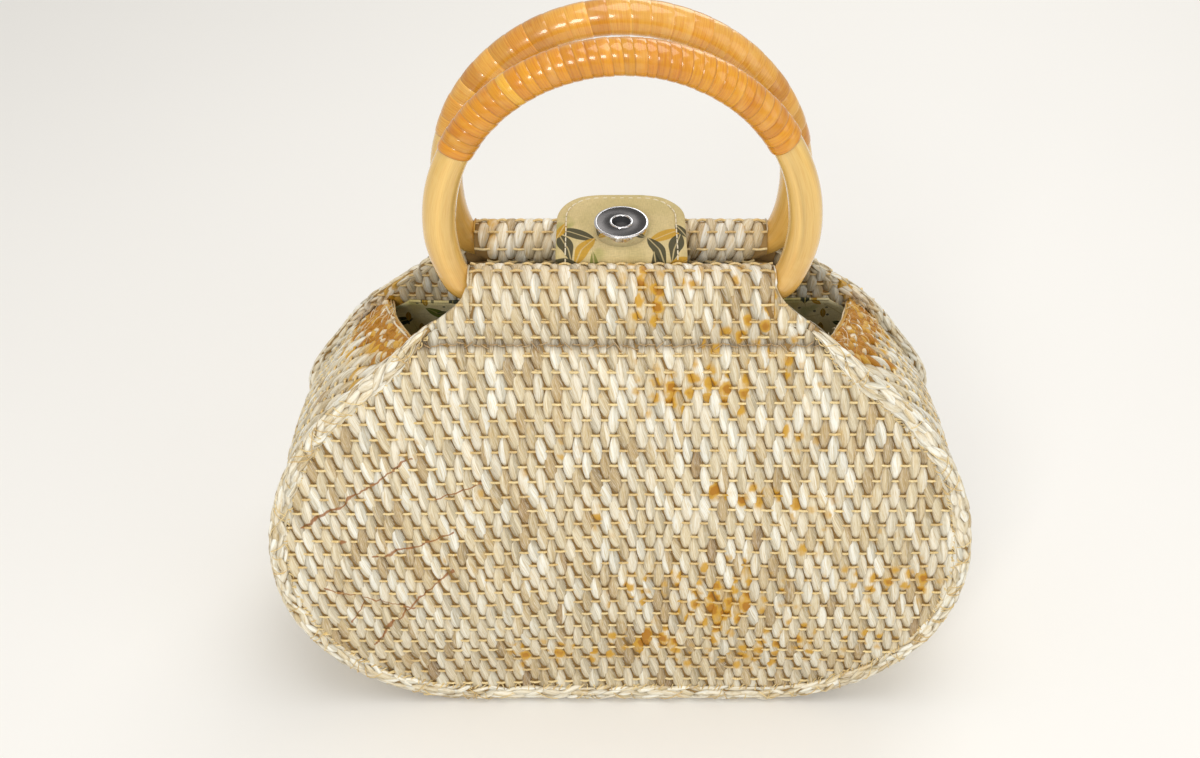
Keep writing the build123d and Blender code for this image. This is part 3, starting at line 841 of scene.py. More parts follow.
def weave_flap(name, side, sign, cx, cs, mat, stain):
    """The corner of cloth between a sleeve's end and the slope. It crumples inwards under the ring's leg."""
    place = lambda x, s, h: panel_point(x, s, h, side)
    beyond = (outline_x(height(cs)) - np.abs(cx) <= EDGE_ROOM).reshape(-1, 1, 1)

    def kept(x, s, h):
        z = height(s)
        inner = np.where(beyond, NECK_HALF - 1.0, outline_x(z) - 1.2)
        outer = np.maximum(flap_x(z) - 0.5, inner + 0.1)
        return place(sign * np.clip(np.abs(x), inner, outer), s, h)

    sets = [grains(cx, cs, draws(len(cx), *PANEL_FLOAT, (-0.06, 0.06)), kept, stain)]
    lines = []
    for row in range(int((S_TOP - FIRST_ROW) / ROW) + 1):
        z = height(FIRST_ROW + row * ROW)
        inner, outer = float(outline_x(z)), float(flap_x(z))
        if outer - inner > 1.0:
            lines.append(weft_line(sign * np.linspace(inner - 1.5, outer - 0.9, 24), row))
    sets += [wefts(lines, stain, place), flap_ground(sign, place)]
    sets = [(p, f, a + [panel_place(spots)]) for p, f, a, spots in sets]
    obj = straw_piece(name, *sets, finish=mat)
    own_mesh(obj)
    return obj


def panel_floats(cx, cs, side, stain):
    """The floats of a panel, with painted shade in the fold under the sleeve and towards the foot."""
    on_bend = smooth(S_CROWN - 8, S_CROWN + 2, cs)
    half_length, half_width, lift, slant = draws(len(cx), *PANEL_FLOAT, (0, 0.06))
    lift = lift * (1 - 0.25 * on_bend)
    slant = slant - 0.05 * smooth(40, -80, cx) * (1 - on_bend) - 0.06

    def kept(x, s, h):
        s = np.clip(s, 1.2, S_END)
        limit = cloth_reach(s) - 0.5
        return panel_point(np.clip(x, -limit, limit), s, h, side)

    p, f, a, spots = grains(cx, cs, (half_length, half_width, lift, slant), kept, stain)
    up = spots[:, 1] - S_SEAM
    # Painted shade: darker in the crease at the hem seam, and towards the foot, which gets less light from
    # above.
    seam_shade = 1 - 0.55 * np.exp(-(up / 1.1) ** 2) - 0.2 * smooth(11, 1, up) * smooth(-1, 1, up)
    foot_shade = 1 - 0.15 * smooth(80, 12, spots[:, 1])
    a[0][1][:, :3] *= seam_shade[:, None] ** (1.0, 1.15, 1.4) * foot_shade[:, None] ** (1.0, 1.2, 1.6)
    return p, f, a, spots


def panel_layer(name, side, mat, p, f, a, spots):
    """One layer of a panel's straw. On the front its points know their place, for the splashes."""
    if side < 0:
        a.append(panel_place(spots))
    return straw_piece(name, (p, f, a), finish=mat)


def hem_stitches(name, stain, place):
    """Small stitches along the hem under the sleeve."""
    reach = outline_x(SEAM_Z) - 2
    x = np.arange(-reach, reach - 2, 2.7)[:, None]
    step = np.linspace(-1, 1, 5)
    tilt = rng.normal(0, 0.5, x.shape)
    s = S_SEAM + rng.normal(0, 0.35, x.shape) + tilt * step
    p, f, a, _ = wefts(stacked(x + 1.1 + step * 1.25, s, 1.25 - 0.6 * step ** 2), stain, place, 0.2)
    a[0][1][:, :3] *= (0.6, 0.5, 0.42)
    straw_piece(name + "_hem_stitches", (p, f, a))


def weave_panel(name, side, mat, stain):
    """The woven cloth of one panel: floats, wefts, hem stitches and the ground under them, its brown darkened
    as painted shade in the gaps.
    """
    place = lambda x, s, h: panel_point(x, s, h, side)
    columns = int(HALF_WIDTH / COLUMN) + 1
    rows = int((S_END - 2) / ROW)
    i, j = crossings(np.arange(-columns, columns + 1), np.arange(rows + 1))
    x0, s0 = i * COLUMN, FIRST_ROW + j * ROW
    drift, wave = sway(x0, s0)
    cx, cs = x0 + drift, np.clip(s0 + wave, 0, S_END - 3.5)
    z = height(cs)
    by_notch = outline_x(z + CORNER_LOOK) - np.abs(cx) < CORNER_LAP
    beside = by_notch & (flap_x(z) - np.abs(cx) > CORNER_ROOM) & (cs < S_TOP) & (z > CORNER_LOW)
    for word, sign in (("_corner_left", -1), ("_corner_right", 1)):
        own = beside & (cx * sign > 0)
        weave_flap(name + word, side, sign, cx[own], cs[own], mat, stain)

    keep = (cloth_reach(cs) - np.abs(cx) > EDGE_ROOM) & (z > LOWEST_FLOAT)
    on_wall = cs > S_WALL - 3
    if side < 0:
        keep &= ~(on_wall & (np.abs(cx) < TAB_ROOM))
    else:
        from_stud = np.hypot(cx, cs - (S_WALL + WALL_LENGTH / 2))
        keep &= ~(on_wall & (from_stud < STUD_ROOM))
    lines = []
    for row in range(rows + 1):
        s_row = FIRST_ROW + row * ROW
        if s_row <= S_END - 1:
            reach = float(cloth_reach(s_row)) - 0.9
            lines.append(weft_line(np.linspace(-reach, reach, 170), row))
    weave = panel_layer(name + "_weave", side, mat, *panel_floats(cx[keep], cs[keep], side, stain))
    weft = panel_layer(name + "_weft", side, mat, *wefts(lines, stain, place))
    hem_stitches(name, stain, place)

    s = np.concatenate([np.linspace(0, 1, 13)[:-1] ** 2 * 30, np.linspace(30, S_END, 70)])
    reach = cloth_reach(s) - 0.8
    x = np.linspace(-1, 1, 49) * reach[:, None]
    faces = two_sided(*[place(x, s[:, None] + 0 * x, h) for h in (GROUND_H, -CLOTH + 0.05)])
    sheet = build(name + "_cloth", *faces, ground, "woven_straw")
    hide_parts(name)
    flat = square_metres(2 * reach, s)


def rim_path(count):
    """The seam line round a panel in (x, z) with outward normals: from the top of one corner's cloth down,
    along the base and up to the other."""
    high = np.linspace(RIM_TOP, CORNER[1], 160)
    low = np.linspace(0, math.pi / 2, 90)[1:]
    x = np.concatenate([flap_x(high), CORNER[0] + CORNER[2] * np.cos(low), [0.0]])
    z = np.concatenate([high, CORNER[1] - CORNER[2] * np.sin(low), [0.0]])
    return evened(*mirrored(x, z), count)


RIM = rim_path(900)
RIM_LENGTH = RIM[0][-1]
RIM_HALF, RIM_TALL, RIM_EASE = 3.1, 2.0, 20.0

# Strips laid along the seam: angle round it and half width
RIM_LANES = ((0.55, 0.42), (1.25, 0.5), (2.0, 0.5), (2.75, 0.5), (3.5, 0.5), (4.25, 0.42), (5.0, 0.42))
RIM_PITCH = 5.6


def rim_point(l, turn, rise, side):
    """Point on the rolled seam: l along it, turn round it from its inner edge (0) over the face to its outer
    edge (180 degrees)."""
    l = np.clip(l, 0, RIM_LENGTH)
    px, pz, qx, qz = looked_up(RIM, l)
    ease = smooth(0, RIM_EASE, l) * smooth(RIM_LENGTH, RIM_LENGTH - RIM_EASE, l)
    half, tall = RIM_HALF * (0.45 + 0.55 * ease), RIM_TALL * (0.5 + 0.5 * ease)
    inset = 0.3 + half + (half + rise) * np.cos(turn)
    h = -0.3 + (tall + rise) * np.sin(turn)
    x, z = px - qx * inset, pz - qz * inset
    angle = math.pi - np.arcsin(np.clip((z - HEEL) / FACE_R, -1, 1))
    y = FACE_C[0] + FACE_R * np.cos(angle) + (h - 0.4 * slack(side * x, z)) * np.cos(angle)
    return stacked(x * pinch(z, side), -side * y, z)


def rim_stain(x, l):
    return 0.06 + 0.12 * np.clip(np.sin(l / 23) * np.sin(l / 9.1 + 2), 0, 1) + 0 * x


def weave_rim(name, side):
    """Rolled seam: a core with straw strips laid along and round it, and two runs of small stitches."""
    steps, sides = 420, 12
    l = np.linspace(0, RIM_LENGTH, steps)[:, None]
    turn = around(sides)[None, :]
    core = rim_point(l, turn, -0.55, side)
    build(name + "_rim_core", core, grid_faces(steps, sides, True), ground, "woven_straw")
    sets = []
    for lane, (angle, width) in enumerate(RIM_LANES):
        count = int(RIM_LENGTH / RIM_PITCH)
        cl = (np.arange(count) + 0.37 * lane + rng.normal(0, 0.12, count)) * RIM_PITCH
        cl = np.clip(cl, 2.5, RIM_LENGTH - 2.5)
        sizes = draws(count, (4.4, 0.7), (width, 0.07), (0.42, 0.2), (0.05, 0.07))
        along = lambda x, s, h: rim_point(s, angle + x, h * 0.75 - 0.1, side)
        sets.append(grains(np.zeros(count), cl, sizes, along, rim_stain, 7, PALE))

    def stitches(cl, lean, reach, middle, tall, sink, radius, place):
        step = np.linspace(-1, 1, 5)
        across = middle + step * reach[:, None]
        along = cl[:, None] + step * lean[:, None]
        sets.append(wefts(stacked(across, along, tall - sink * step ** 2), rim_stain, place, radius))

    count = int(RIM_LENGTH / 2.4)
    cl = np.linspace(3, RIM_LENGTH - 3, count) + rng.normal(0, 0.5, count)
    into = lambda x, s, h: rim_point(s, 0.15 + x * 0.7, h, side)
    stitches(cl, rng.normal(0.6, 0.6, count) * 1.5, rng.uniform(0.5, 1.0, count), 0.0, 0.55, 0.6, 0.26, into)
    count = int(RIM_LENGTH / 6)
    cl = rng.uniform(2, RIM_LENGTH - 2, count)
    over = lambda x, s, h: rim_point(s, x, h, side)
    stitches(cl, rng.normal(0, 1, count) * 2.2, rng.uniform(0.5, 1.3, count), 1.7, 0.65, 0.75, 0.17, over)
    straw_piece(name + "_rim", *sets)


def gusset_stain(y, l):
    """Brown towards both ends, over a blotchy edge."""
    away = strip_end(y / strip_depth(l)) - np.abs(l)
    blotch = 6 * np.sin(y * 0.31 + 1) * np.sin(l * 0.21) + 4 * np.sin(y * 0.9 + l * 0.6)
    return np.clip(0.06 + 1.9 * smooth(30, 5, away + blotch), 0, 1.7)


def gusset_place(y, l, h):
    """Point on the gusset at a distance across it, kept inside its edges and ends."""
    v = np.clip(y / strip_depth(l), -0.99, 0.99)
    end = strip_end(v)
    return strip_point(v, np.clip(l, -end, end), h)


def gusset_floats(columns, rows):
    i, j = crossings(np.arange(-columns, columns + 1), np.arange(-rows, rows + 1))
    cl = j * ROW + 0.4 * np.sin(i / 5.0)
    cy = i * COLUMN + 0.8 * np.sin(cl / 37)
    depth = strip_depth(cl)
    keep = (np.abs(cy) < depth - 0.9) & (np.abs(cl) < strip_end(cy / depth) - 12)
    cy, cl = cy[keep], cl[keep]
    return grains(cy, cl, draws(len(cy), *GUSSET_FLOAT), gusset_place, gusset_stain)


def gusset_lumps():
    """Each end is turned over and sewn flat: short lumps of straw, soaked brown."""
    grid = np.meshgrid(np.arange(-24, 25), np.arange(7), (-1.0, 1.0), indexing="ij")
    i, j, end = [values.ravel() for values in grid]
    y = i * 2.3 + 1.15 * (j % 2) + rng.normal(0, 0.25, len(i))
    v = y / strip_depth(STRIP_HALF - 6)
    inside = np.abs(v) < 0.97
    y, v, j, end = y[inside], v[inside], j[inside], end[inside]
    l = end * (strip_end(v) - 1.0 - 1.9 * j + rng.normal(0, 0.3, len(j)))
    wet = lambda y, l: gusset_stain(y, l) + 0.5
    return grains(y, l, draws(len(y), *GUSSET_LUMP), gusset_place, wet, 7)


def gusset_wefts(columns, rows):
    lines = []
    for row in range(-rows, rows + 1):
        l = row * ROW
        if abs(l) < STRIP_HALF - STRIP_SKEW:
            reach = float(strip_depth(l)) - 0.6
            y = np.linspace(-reach, reach, 4 * columns + 2)
            phase = (y - 0.8 * np.sin(l / 37)) / COLUMN
            lines.append(stacked(y, l + 0.4 * np.sin(phase / 5.0), dip(phase + row)))
    return wefts(lines, gusset_stain, gusset_place)


def gusset_frays():
    """Frayed fibres and the turned edge at each end."""
    steps = 8
    paths, radii, soak = [], [], []
    t = np.linspace(0, 1, steps)
    across = np.linspace(-0.98, 0.98, steps)
    for end in (-1, 1):
        for _ in range(44):
            v = rng.uniform(-0.95, 0.95)
            l = strip_end(v) - abs(rng.normal(0, 7))
            run = rng.normal(0, 1, 2)
            run /= np.linalg.norm(run)
            reach = rng.uniform(2.5, 8)
            v = np.clip(v + run[0] * reach * t / 26, -1, 1)
            l = np.minimum(l + run[1] * reach * t, strip_end(v) + 2.0)
            h = 0.8 + rng.uniform(0.2, 2.0) * np.sin(t * math.pi * rng.uniform(0.5, 1.0))
            paths.append(strip_point(v, end * l, h))
            radii.append(np.full(steps, rng.uniform(0.05, 0.13)))
            soak.append(rng.uniform(0, 0.9))
        for k in range(6):
            wob = rng.normal(0, 0.25, steps)
            l = strip_end(across) + 0.4 - 0.3 * k + wob
            paths.append(strip_point(across, end * l, -1.3 + 0.42 * k + wob[::-1]))
            radii.append(np.full(steps, 0.36))
            soak.append(rng.uniform(0.2, 0.9))
    count, corners = len(paths), steps * STRAND_SIDES
    tint = np.repeat(straw_tints(count), corners, 0)
    fibre = np.repeat(rng.uniform(0, 60, (count, 3)), corners, 0)
    p, f = tubes(np.array(paths), np.array(radii), STRAND_SIDES)
    straw_piece("gusset_frays", (p, f, straw_attributes(tint, fibre, np.repeat(soak, corners))))


def weave_gusset():
    """The woven strip between the panels: its columns run out at the seams as it narrows."""
    columns = int(strip_depth(0.0) / COLUMN)
    rows = int((STRIP_HALF + STRIP_SKEW) / ROW)
    weave = straw_piece("gusset_weave", gusset_floats(columns, rows), gusset_lumps())
    weft = straw_piece("gusset_weft", gusset_wefts(columns, rows))
    v = np.linspace(-1, 1, 25)[None, :]
    l = np.linspace(-1, 1, 241)[:, None] * strip_end(v)
    faces = two_sided(strip_point(v, l, GROUND_H), strip_point(v, l, -CLOTH))
    sheet = build("gusset_cloth", *faces, ground, "woven_straw")
    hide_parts("gusset")
    strip_area(STRIP_HALF)
    gusset_frays()


def inner_point(x, z, h, side):
    """Point at a height over the inside of a panel's cloth."""
    return panel_point(x, face_length(z), -CLOTH - h, side)


FACING_Z = 122.0
FACING_ROW = ROW * 0.95
FACING_ROWS = 7
UNDER_SLEEVE = (NECK_HALF + 8, 137.0)


def inner_facing(name, side):
    """The straw turned in along the inside of a panel's mouth and slopes, above the lining."""
    def place(x, z, h):
        limit = outline_x(z) - 0.8
        return inner_point(np.clip(x, -limit, limit), z, h, side)

    clean = lambda x, z: 0.06 + 0.3 * smooth(66, 86, np.abs(x)) + 0 * z
    i, j = crossings(np.arange(-32, 33), np.arange(FACING_ROWS))
    cx, cz = i * COLUMN, FACING_Z + j * FACING_ROW
    hidden = (np.abs(cx) < UNDER_SLEEVE[0]) & (cz > UNDER_SLEEVE[1])
    keep = (outline_x(cz) - np.abs(cx) > EDGE_ROOM) & ~hidden
    cx, cz = cx[keep], cz[keep]
    floats = grains(cx, cz, draws(len(cx), *FACING_FLOAT), place, clean, 7)
    lines = []
    for row in range(FACING_ROWS):
        z_row = FACING_Z + row * FACING_ROW
        reach = float(outline_x(z_row)) - 1.2
        x = np.linspace(-reach, reach, 110)
        h = dip(x / COLUMN + row)
        if z_row > UNDER_SLEEVE[1]:
            h = np.where(np.abs(x) < UNDER_SLEEVE[0], -0.7, h)
        lines.append(stacked(x, z_row, h))
    straw_piece(name + "_facing", floats, wefts(lines, clean, place))


LINING_PLY = 0.5


def lining_ply(name, points, cloth):
    """A ply of printed cotton over a grid of points; cloth holds their places on the flat print."""
    rows, cols, _ = points.shape
    faces = grid_faces(rows, cols)
    obj = build(name + "_cloth", points, faces, lining_print, "lining_cotton", [("cloth", cloth)])
    solid = obj.modifiers.new("ply", "SOLIDIFY")
    solid.thickness = LINING_PLY * MM
    solid.offset = 0
    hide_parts(name)
    return obj


def lining(name, side):
    """Printed cotton inside a panel, with a folded top edge."""
    z = np.linspace(6.5, 126.0, 60)
    reach = outline_x(z + 3.5, 6.8)
    x = np.linspace(-1, 1, 61) * reach[:, None]
    zz = z[:, None] + 0 * x
    wrinkle = 0.45 * np.sin(x / 9 + zz / 21) * np.sin(zz / 13 + 1) + 0.3 * np.sin(x / 5 - zz / 8)
    points = inner_point(x, zz, 0.9 + 0.4 * wrinkle + 0.9 * smooth(119, 126, zz), side)
    cloth = stacked(x + 200, zz + 40 * side, 0 * x)
    obj = lining_ply(name, points, cloth)
    hem = tubes(points[None, -1], 0.55, 6)
    hem_cloth = [("cloth", np.repeat(cloth[-1], 6, 0))]
    hem_obj = build(name + "_cloth_edge", *hem, lining_print, "lining_cotton", hem_cloth)
    flat = square_metres(2 * reach, z)


def lining_strip():
    """Printed cotton inside the gusset."""
    short, narrow = 4.0, 1.2
    v = np.linspace(-1, 1, 30)[None, :]
    l = np.linspace(-1, 1, 200)[:, None] * (strip_end(v) - short)
    wrinkle = 0.4 * np.sin(l / 11 + v * 5) + 0.3 * np.sin(l / 6 - v * 9)
    points = strip_point(v, l, -2.6 + 0.35 * wrinkle, narrow)
    obj = lining_ply("lining_gusset", points, stacked(46 * v, l, 0 * l))
    area = strip_area(STRIP_HALF - short, narrow)


# Closure tab: sewn on the front sleeve's inner wall, over the mouth and back over the other sleeve
TAB_HALF = 1.4
TAB_GAP = 0.2
HUG = SLEEVE_R + TAB_GAP + TAB_HALF
RISE = math.radians(4.0)
TAB_UP = RISE + math.pi / 2
BEND_R = 1.8
TAB_CLEAR = SLEEVE_R + 0.7 + TAB_GAP + TAB_HALF - BEND_R - 2 * BAR_Y * math.sin(RISE)
FOLD = TAB_UP - math.acos(TAB_CLEAR / (HUG + BEND_R))
BEND_Y = -BAR_Y + (HUG + BEND_R) * math.cos(FOLD)
BEND_Z = BAR_Z + (HUG + BEND_R) * math.sin(FOLD)
TAB_W = 21.5
TIP_R = 14.0
FREE = 32.2
TAB_SIDES = 72
STITCH_IN = 3.2


def ray(angle):
    return np.array([math.cos(angle), math.sin(angle)])


def arc(centre, radius, start, end, steps=24):
    turn = np.linspace(start, end, steps)
    return np.array(centre) + radius * np.stack([np.cos(turn), np.sin(turn)], -1)


def tab_line():
    """Middle line of the tab in (y, z) from root to tip, with its upward normal, at even steps."""
    root = HEM + (CLOTH + TAB_GAP + TAB_HALF) * ray(WALL_N) + 3 * ray(WALL)
    hug = arc((-BAR_Y, BAR_Z), HUG, WALL_N, FOLD)
    bend = arc((BEND_Y, BEND_Z), BEND_R, FOLD + math.pi, TAB_UP)
    free = bend[-1] + np.linspace(0, FREE, 40)[1:, None] * ray(RISE)
    return evened(*np.concatenate([[root], hug, bend, free]).T, 240)


TAB = tab_line()
TAB_LENGTH = TAB[0][-1]
SNAP_AT = TAB_LENGTH - 22.6


def tab_reach(q):
    """Half width of the tab at a length from its root."""
    left = np.clip(TIP_R - (TAB_LENGTH - q), 0, TIP_R)
    return TAB_W - TIP_R + np.sqrt(TIP_R ** 2 - left ** 2)


def tab_point(x, q, h):
    """Point over the tab's middle line; its sides sag a little."""
    py, pz, qy, qz = looked_up(TAB, q)
    h = h + 0.35 * np.sin(q / 9 + x / 14) * smooth(0, 10, q) * smooth(17, 21.5, np.abs(x))
    return stacked(x, py + qy * h, pz + qz * h)


def tab_body():
    """Both plies as one soft cushion, pressed in along the stitches."""
    tip = TAB_LENGTH - TIP_R * (1 - np.sin(np.linspace(0, math.pi / 2, 36)))
    q = np.concatenate([np.linspace(0, TAB_LENGTH - TIP_R, 110)[:-1], tip])[:, None]
    turn = around(TAB_SIDES)[None, :]
    c, s = np.cos(turn), np.sin(turn)
    reach = tab_reach(q)
    x = np.sign(c) * np.abs(c) ** 0.45 * reach
    inwards = reach - np.abs(x)
    near = np.clip((TAB_LENGTH - q) / 2.0, 0.02, 1)
    half = 0.75 + 0.55 * smooth(0, 4, inwards) - 0.35 * np.exp(-((inwards - 3.0) / 0.8) ** 2)
    h = np.maximum(np.sign(s) * np.abs(s) ** 0.5 * half * np.sqrt(near), -1.25)
    a = np.arange(1, TAB_SIDES // 2 - 1)
    cap = np.stack([a, a + 1, TAB_SIDES - 1 - a, TAB_SIDES - a], -1)
    faces = np.concatenate([grid_faces(len(q), TAB_SIDES, True), cap, cap + (len(q) - 1) * TAB_SIDES])
    cloth = stacked(x, q - TAB_LENGTH, 0 * x)
    return build("tab_cloth", tab_point(x, q + 0 * x, h), faces, tab_print, "tab_cotton", [("cloth", cloth)])


def tab_stitches():
    """Topstitching along both sides and round the tip."""
    side = np.arange(6.0, TAB_LENGTH - TIP_R, 0.2)
    side = np.stack([TAB_W - STITCH_IN + 0 * side, side], -1)
    tip = arc((TAB_W - TIP_R, TAB_LENGTH - TIP_R), TIP_R - STITCH_IN, 0, math.pi / 2, 60)
    half = np.concatenate([side, tip])
    whole = np.concatenate([half, (half * (-1, 1))[::-1]])
    gone = travelled(*whole.T)
    paths = []
    for start in np.arange(1.0, gone[-1] - 2.5, 2.9):
        at = np.linspace(start, start + 2.1, 6)
        x, q = np.interp(at, gone, whole[:, 0]), np.interp(at, gone, whole[:, 1])
        paths.append(tab_point(x, q, 0.98 + 0.22 * np.sin(np.linspace(0, math.pi, 6))))
    return build("tab_stitches", *tubes(np.array(paths), 0.24), thread, "tab_cotton")


def make_tab():
    tab = tab_body()
    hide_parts("tab_facing", "tab_backing")
    stitches = tab_stitches()
    outline = np.linspace(0, TAB_LENGTH, 300)
    area = square_metres(2 * tab_reach(outline), outline)


def snap_place(a, b, h):
    """Point of the snap: a and b across the tab's face, h above it."""
    base = looked_up(TAB, SNAP_AT)
    up, forward = ray(TAB_UP), ray(RISE)
    h = h + TAB_HALF + 0.1
    return stacked(a, base[0] + b * forward[0] + h * up[0], base[1] + b * forward[1] + h * up[1])


def lathe(name, rings, mat, sides=72):
    """A turned piece of the snap from rings of (radius, height)."""
    turn = around(sides)
    r, h = np.array(rings).T[:, :, None]
    points = snap_place(r * np.cos(turn), r * np.sin(turn), h)
    return build(name, points, grid_faces(len(rings), sides, True)[:, ::-1], mat, "snap_plate")


def make_snap():
    """Socket half of the snap: a plated shell, a dark face, a rim round the hole and the hole itself."""
    body = [(8.6, -0.4), (8.75, 0.2), (8.9, 0.9)]
    body += [(8.5 + 0.5 * math.cos(t), 3.4 + 0.5 * math.sin(t)) for t in np.linspace(0, math.pi / 2, 7)]
    shell = lathe("snap_socket_shell", body + [(8.2, 3.88)], chrome)
    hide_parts("snap_socket_cap", "snap_magnet", "snap_socket_prongs", "snap_socket_washer")
    lathe("snap_socket_face", [(8.25, 3.86), (8.05, 3.78), (4.2, 3.78), (3.9, 3.84)], gunmetal)
    lip = [(3.5 + 0.42 * math.cos(t), 3.75 + 0.36 * math.sin(t)) for t in np.linspace(0, math.pi, 9)]
    lathe("snap_socket_lip", [(3.95, 3.75)] + lip + [(3.05, 3.3)], chrome)
    lathe("snap_socket_recess", [(3.06, 3.4), (3.0, 1.4), (2.9, 1.2), (0.6, 1.15), (0.01, 1.15)], ferrite)


# Rattan rings
POLE_R = 5.0
BAR_HALF = 47.0
CORNER_R, CORNER_A = 7.0, math.radians(65.0)
SIDE_R, SIDE_A = 45.5, math.pi / 2 - CORNER_A
ARCH_R = BAR_HALF + CORNER_R * math.sin(CORNER_A) + SIDE_R * (1 - math.sin(CORNER_A))


def ring_line():
    """Centre line of a ring in (x, z) from the middle of the bar round to it again, after its lengths."""
    x, z, heading = [0.0, BAR_HALF], [BAR_Z, BAR_Z], 0.0
    for radius, turn, steps in ((CORNER_R, CORNER_A, 16), (SIDE_R, SIDE_A, 14), (ARCH_R, math.pi / 2, 60)):
        for _ in range(steps):
            after = heading + turn / steps
            x.append(x[-1] + radius * (math.sin(after) - math.sin(heading)))
            z.append(z[-1] + radius * (math.cos(heading) - math.cos(after)))
            heading = after
    x, z = mirrored(np.array(x), np.array(z))
    return travelled(x, z), x, z


RING = ring_line()
RING_LENGTH = RING[0][-1]
SIDE_LENGTH = BAR_HALF + CORNER_R * CORNER_A + SIDE_R * SIDE_A


def ring_point(l, turn, r, y0):
    """Point at radius r about the ring's centre line; turn 0 is the outer side."""
    (px, pz), (ax, az), (bx, bz) = [looked_up(RING, l + step) for step in (0, -0.4, 0.4)]
    tx, tz = bx - ax, bz - az
    size = np.hypot(tx, tz) + 1e-9
    out = r * np.cos(turn)
    return stacked(px + out * tz / size, y0 + r * np.sin(turn), pz - out * tx / size)


def make_pole(which, y0, seed):
    """A bent pole: streaked, with one darker line along it, and darker by the bar."""
    half = np.concatenate([np.linspace(0, 46, 12), np.linspace(46.5, SIDE_LENGTH + 40, 70)])
    arch = np.linspace(SIDE_LENGTH + 42, RING_LENGTH - SIDE_LENGTH - 42, 60)
    l = np.concatenate([half, arch, RING_LENGTH - half[::-1]])[:, None]
    turn = around(28)[None, :]
    bar = np.minimum(l, RING_LENGTH - l)
    swell = POLE_R + 0.38 * smooth(58, 72, bar) * smooth(SIDE_LENGTH + 30, SIDE_LENGTH + 8, bar)
    r = swell * (1 + 0.012 * np.sin(l / 13 + seed) + 0.008 * np.sin(3 * turn + l / 30))
    streak = 1 + 0.07 * np.sin(turn * 5 + 0.02 * l + seed) + 0.04 * np.sin(turn * 11 + 0.05 * l)
    dark_line = np.exp(-((np.mod(turn - 3.6 + 0.004 * l, 2 * math.pi) - 1.2) / 0.07) ** 2)
    tint = linear(232, 192, 108) * (streak * (1 - 0.25 * dark_line))[..., None]
    tint = tint * (1 - 0.9 * smooth(78, 52, bar)[..., None] * (0.1, 0.2, 0.38))
    attributes = [("tint", colour(tint)), ("fibre", stacked(turn * 5, l, seed))]
    body = which + "_handle"
    rod = build(which + "_ring", ring_point(l, turn, r, y0), grid_faces(*r.shape, True), rattan, "rattan",
                attributes, body)
    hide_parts(body + "_rod")


# Section of a cane strip: places across it as shares of its width, and heights over the pole
CANE_ACROSS = np.array([-0.06, 0.0, 0.12, 0.5, 0.88, 1.0, 1.1])
CANE_TALL = np.array([0.38, 0.56, 0.66, 0.66, 0.6, 0.5, 0.3])


def wind_cane(which, y0, strip, starts, tones, weights, seed, lean, edge_light):
    """The cane strip wound along a ring's arch. starts holds the angles left bare at the arch's two ends."""
    own = np.random.default_rng(seed)
    left, right = [SIDE_LENGTH + ARCH_R * math.radians(angle) for angle in starts]
    turns = int((RING_LENGTH - right - left) / strip)
    steps = 31
    phi = np.linspace(0, 2 * math.pi, steps)[None, :, None]
    k = np.arange(turns)[:, None, None]
    w = CANE_ACROSS[None, None, :]
    edge = own.normal(0, 0.12, turns + 1)[:, None, None]
    wob = own.normal(0, 0.05, (turns, 1, 1))
    l = left + (k + w) * strip + lean * np.sin(phi + 0.7) + edge[:-1] * (1 - w) + edge[1:] * w
    r = POLE_R + CANE_TALL * (1 + wob) + own.normal(0, 0.02, (turns, 1, 1))
    tone = np.array([linear(*c) for c in tones])
    pick = own.choice(len(tones), turns, p=weights)
    tint = tone[pick][:, None, None] * np.ones((1, steps, len(CANE_ACROSS), 1))
    # Painted light across each turn's width: painted shade in the creases between turns, and on the back wrap
    # a painted highlight along one edge.
    tint = tint * own.normal(1, 0.04, (turns, 1, 1, 1)) * np.array(edge_light)[:, None]
    fibre = stacked(w * strip, phi * 5.6, own.uniform(0, 80, (turns, 1, 1)))
    attributes = [("tint", colour(tint)), ("fibre", fibre)]
    body = which + "_handle"
    wrap = build(which + "_cane", ring_point(l, phi, r, y0), many_grids(turns, steps, len(CANE_ACROSS)), cane,
                 "cane_wrap", attributes, body)
    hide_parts(body + "_wrap")


PANELS = (("front_panel", -1), ("back_panel", 1))
weave_gusset()
weave_panel("front_panel", -1, straw_front, front_stain)
weave_panel("back_panel", 1, straw, back_stain)
for panel, side in PANELS:
    weave_rim(panel, side)
for panel, side in PANELS:
    inner_facing(panel, side)
lining("lining_front", -1)
lining("lining_back", 1)
lining_strip()
make_tab()
make_snap()

AMBER = ((220, 148, 14), (226, 156, 22), (213, 140, 10), (236, 180, 54))
AMBER_SHARES = (0.45, 0.33, 0.19, 0.03)
# Across a turn of the front wrap: painted shade at both edges, in the creases between turns.
AMBER_EDGE_SHADE = (0.5, 0.82, 1.05, 1.0, 0.97, 0.82, 0.5)
HONEY = ((222, 162, 58), (228, 171, 68), (213, 149, 46), (236, 189, 94))
HONEY_SHARES = (0.4, 0.34, 0.16, 0.1)
# Across a turn of the back wrap: a painted highlight along one edge and painted shade along the other.
HONEY_EDGE_LIGHT = (1.2, 1.1, 1.0, 1.0, 0.97, 0.88, 0.62)
make_pole("front", -BAR_Y, 4)
wind_cane("front", -BAR_Y, 3.3, (31.5, 25.0), AMBER, AMBER_SHARES, 4, 0.9, AMBER_EDGE_SHADE)
make_pole("back", BAR_Y, 9)
wind_cane("back", BAR_Y, 6.2, (14.0, 14.0), HONEY, HONEY_SHARES, 9, 0.7, HONEY_EDGE_LIGHT)

for node, finish in (("snap_stud", chrome), ("snap_stud_prongs", steel), ("snap_stud_washer", steel)):
    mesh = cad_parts[node].data
    mesh.materials.clear()
    mesh.materials.append(finish)

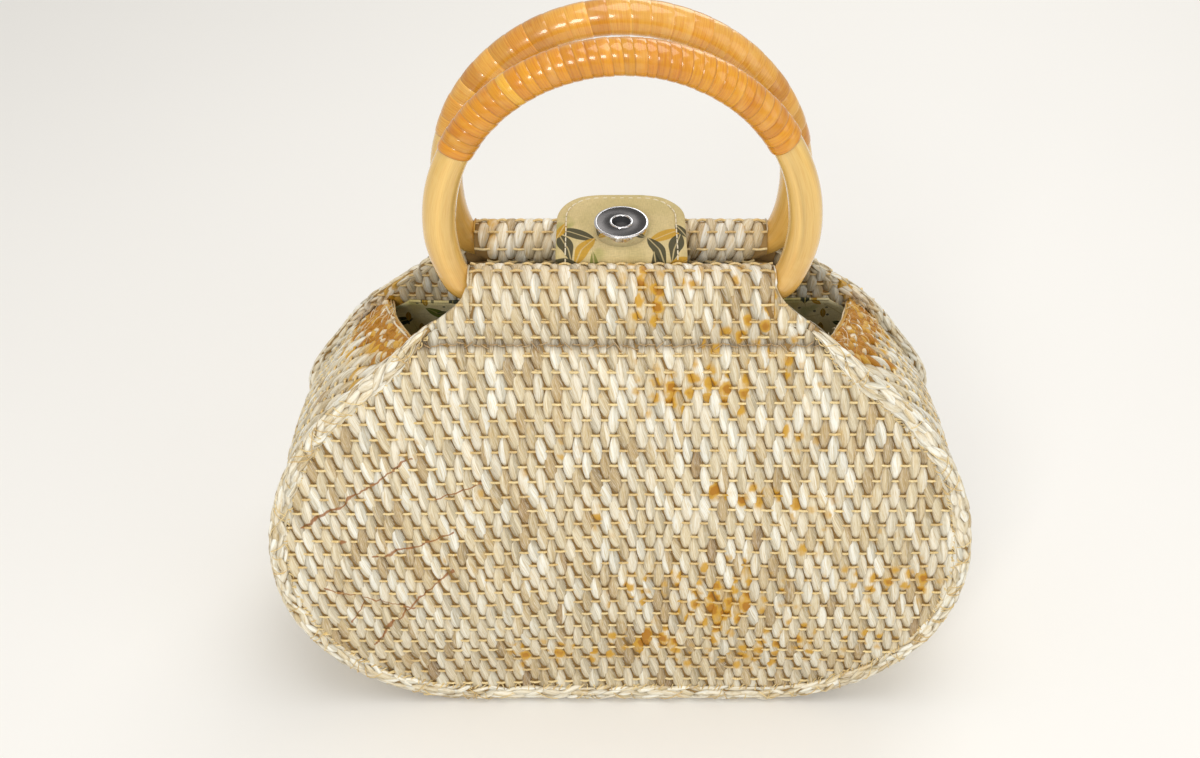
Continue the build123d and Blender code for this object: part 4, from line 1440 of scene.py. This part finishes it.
# Floor, lights and camera
FLOOR_HALF = 3000.0
FLOOR_Z = -0.6
floor_mat, floor_tree, floor_shader = material("floor", Roughness=0.6, Specular_IOR_Level=0.3)
spot = add(floor_tree, "ShaderNodeTexCoord").outputs["Object"]
floor_tone = mix(floor_tree, noise(floor_tree, spot, 3.0), linear(240, 238, 234), linear(244, 242, 238))
floor_tree.links.new(floor_tone, floor_shader.inputs["Base Color"])
fx, fy = np.meshgrid(*[np.linspace(-FLOOR_HALF, FLOOR_HALF, 3)] * 2)
floor = build("floor", stacked(fx, fy, FLOOR_Z), grid_faces(3, 3), floor_mat, body=None, flat=True)

world = bpy.data.worlds.new("studio")
bpy.context.scene.world = world
world.use_nodes = True
world.node_tree.nodes["Background"].inputs["Color"].default_value = (1.0, 0.985, 0.955, 1)
world.node_tree.nodes["Background"].inputs["Strength"].default_value = 0.55


def lamp(name, place, wide, power, tone, aim=(0, 0, 0.1)):
    data = bpy.data.lights.new(name, "AREA")
    data.energy = power
    data.size = wide
    data.color = tone
    obj = bpy.data.objects.new(name, data)
    bpy.context.scene.collection.objects.link(obj)
    obj.location = place
    obj.rotation_euler = (Vector(aim) - Vector(place)).to_track_quat("-Z", "Y").to_euler()


WARM, COOL, WHITE = (1.0, 0.985, 0.96), (0.97, 0.985, 1.0), (1.0, 1.0, 1.0)
lamp("key", (-0.3, -0.95, 0.72), 0.3, 4.1, WARM)
lamp("fill", (0.8, -0.7, 0.7), 0.8, 1.8, COOL)
lamp("top", (0.05, -0.05, 1.15), 0.7, 3.8, WHITE)
lamp("back", (0.35, 0.95, 0.8), 0.6, 3.0, WARM)

eye = bpy.data.cameras.new("camera")
eye.sensor_fit = "HORIZONTAL"
eye.sensor_width = 36.0
eye.lens = 43.5
eye.clip_start = 0.01
camera = bpy.data.objects.new("camera", eye)
bpy.context.scene.collection.objects.link(camera)
camera.location = (-0.007, -0.405, 0.425)
camera.rotation_euler = (math.radians(90 - 37.7), 0, 0)
bpy.context.scene.camera = camera

bpy.context.scene.view_settings.view_transform = "Standard"
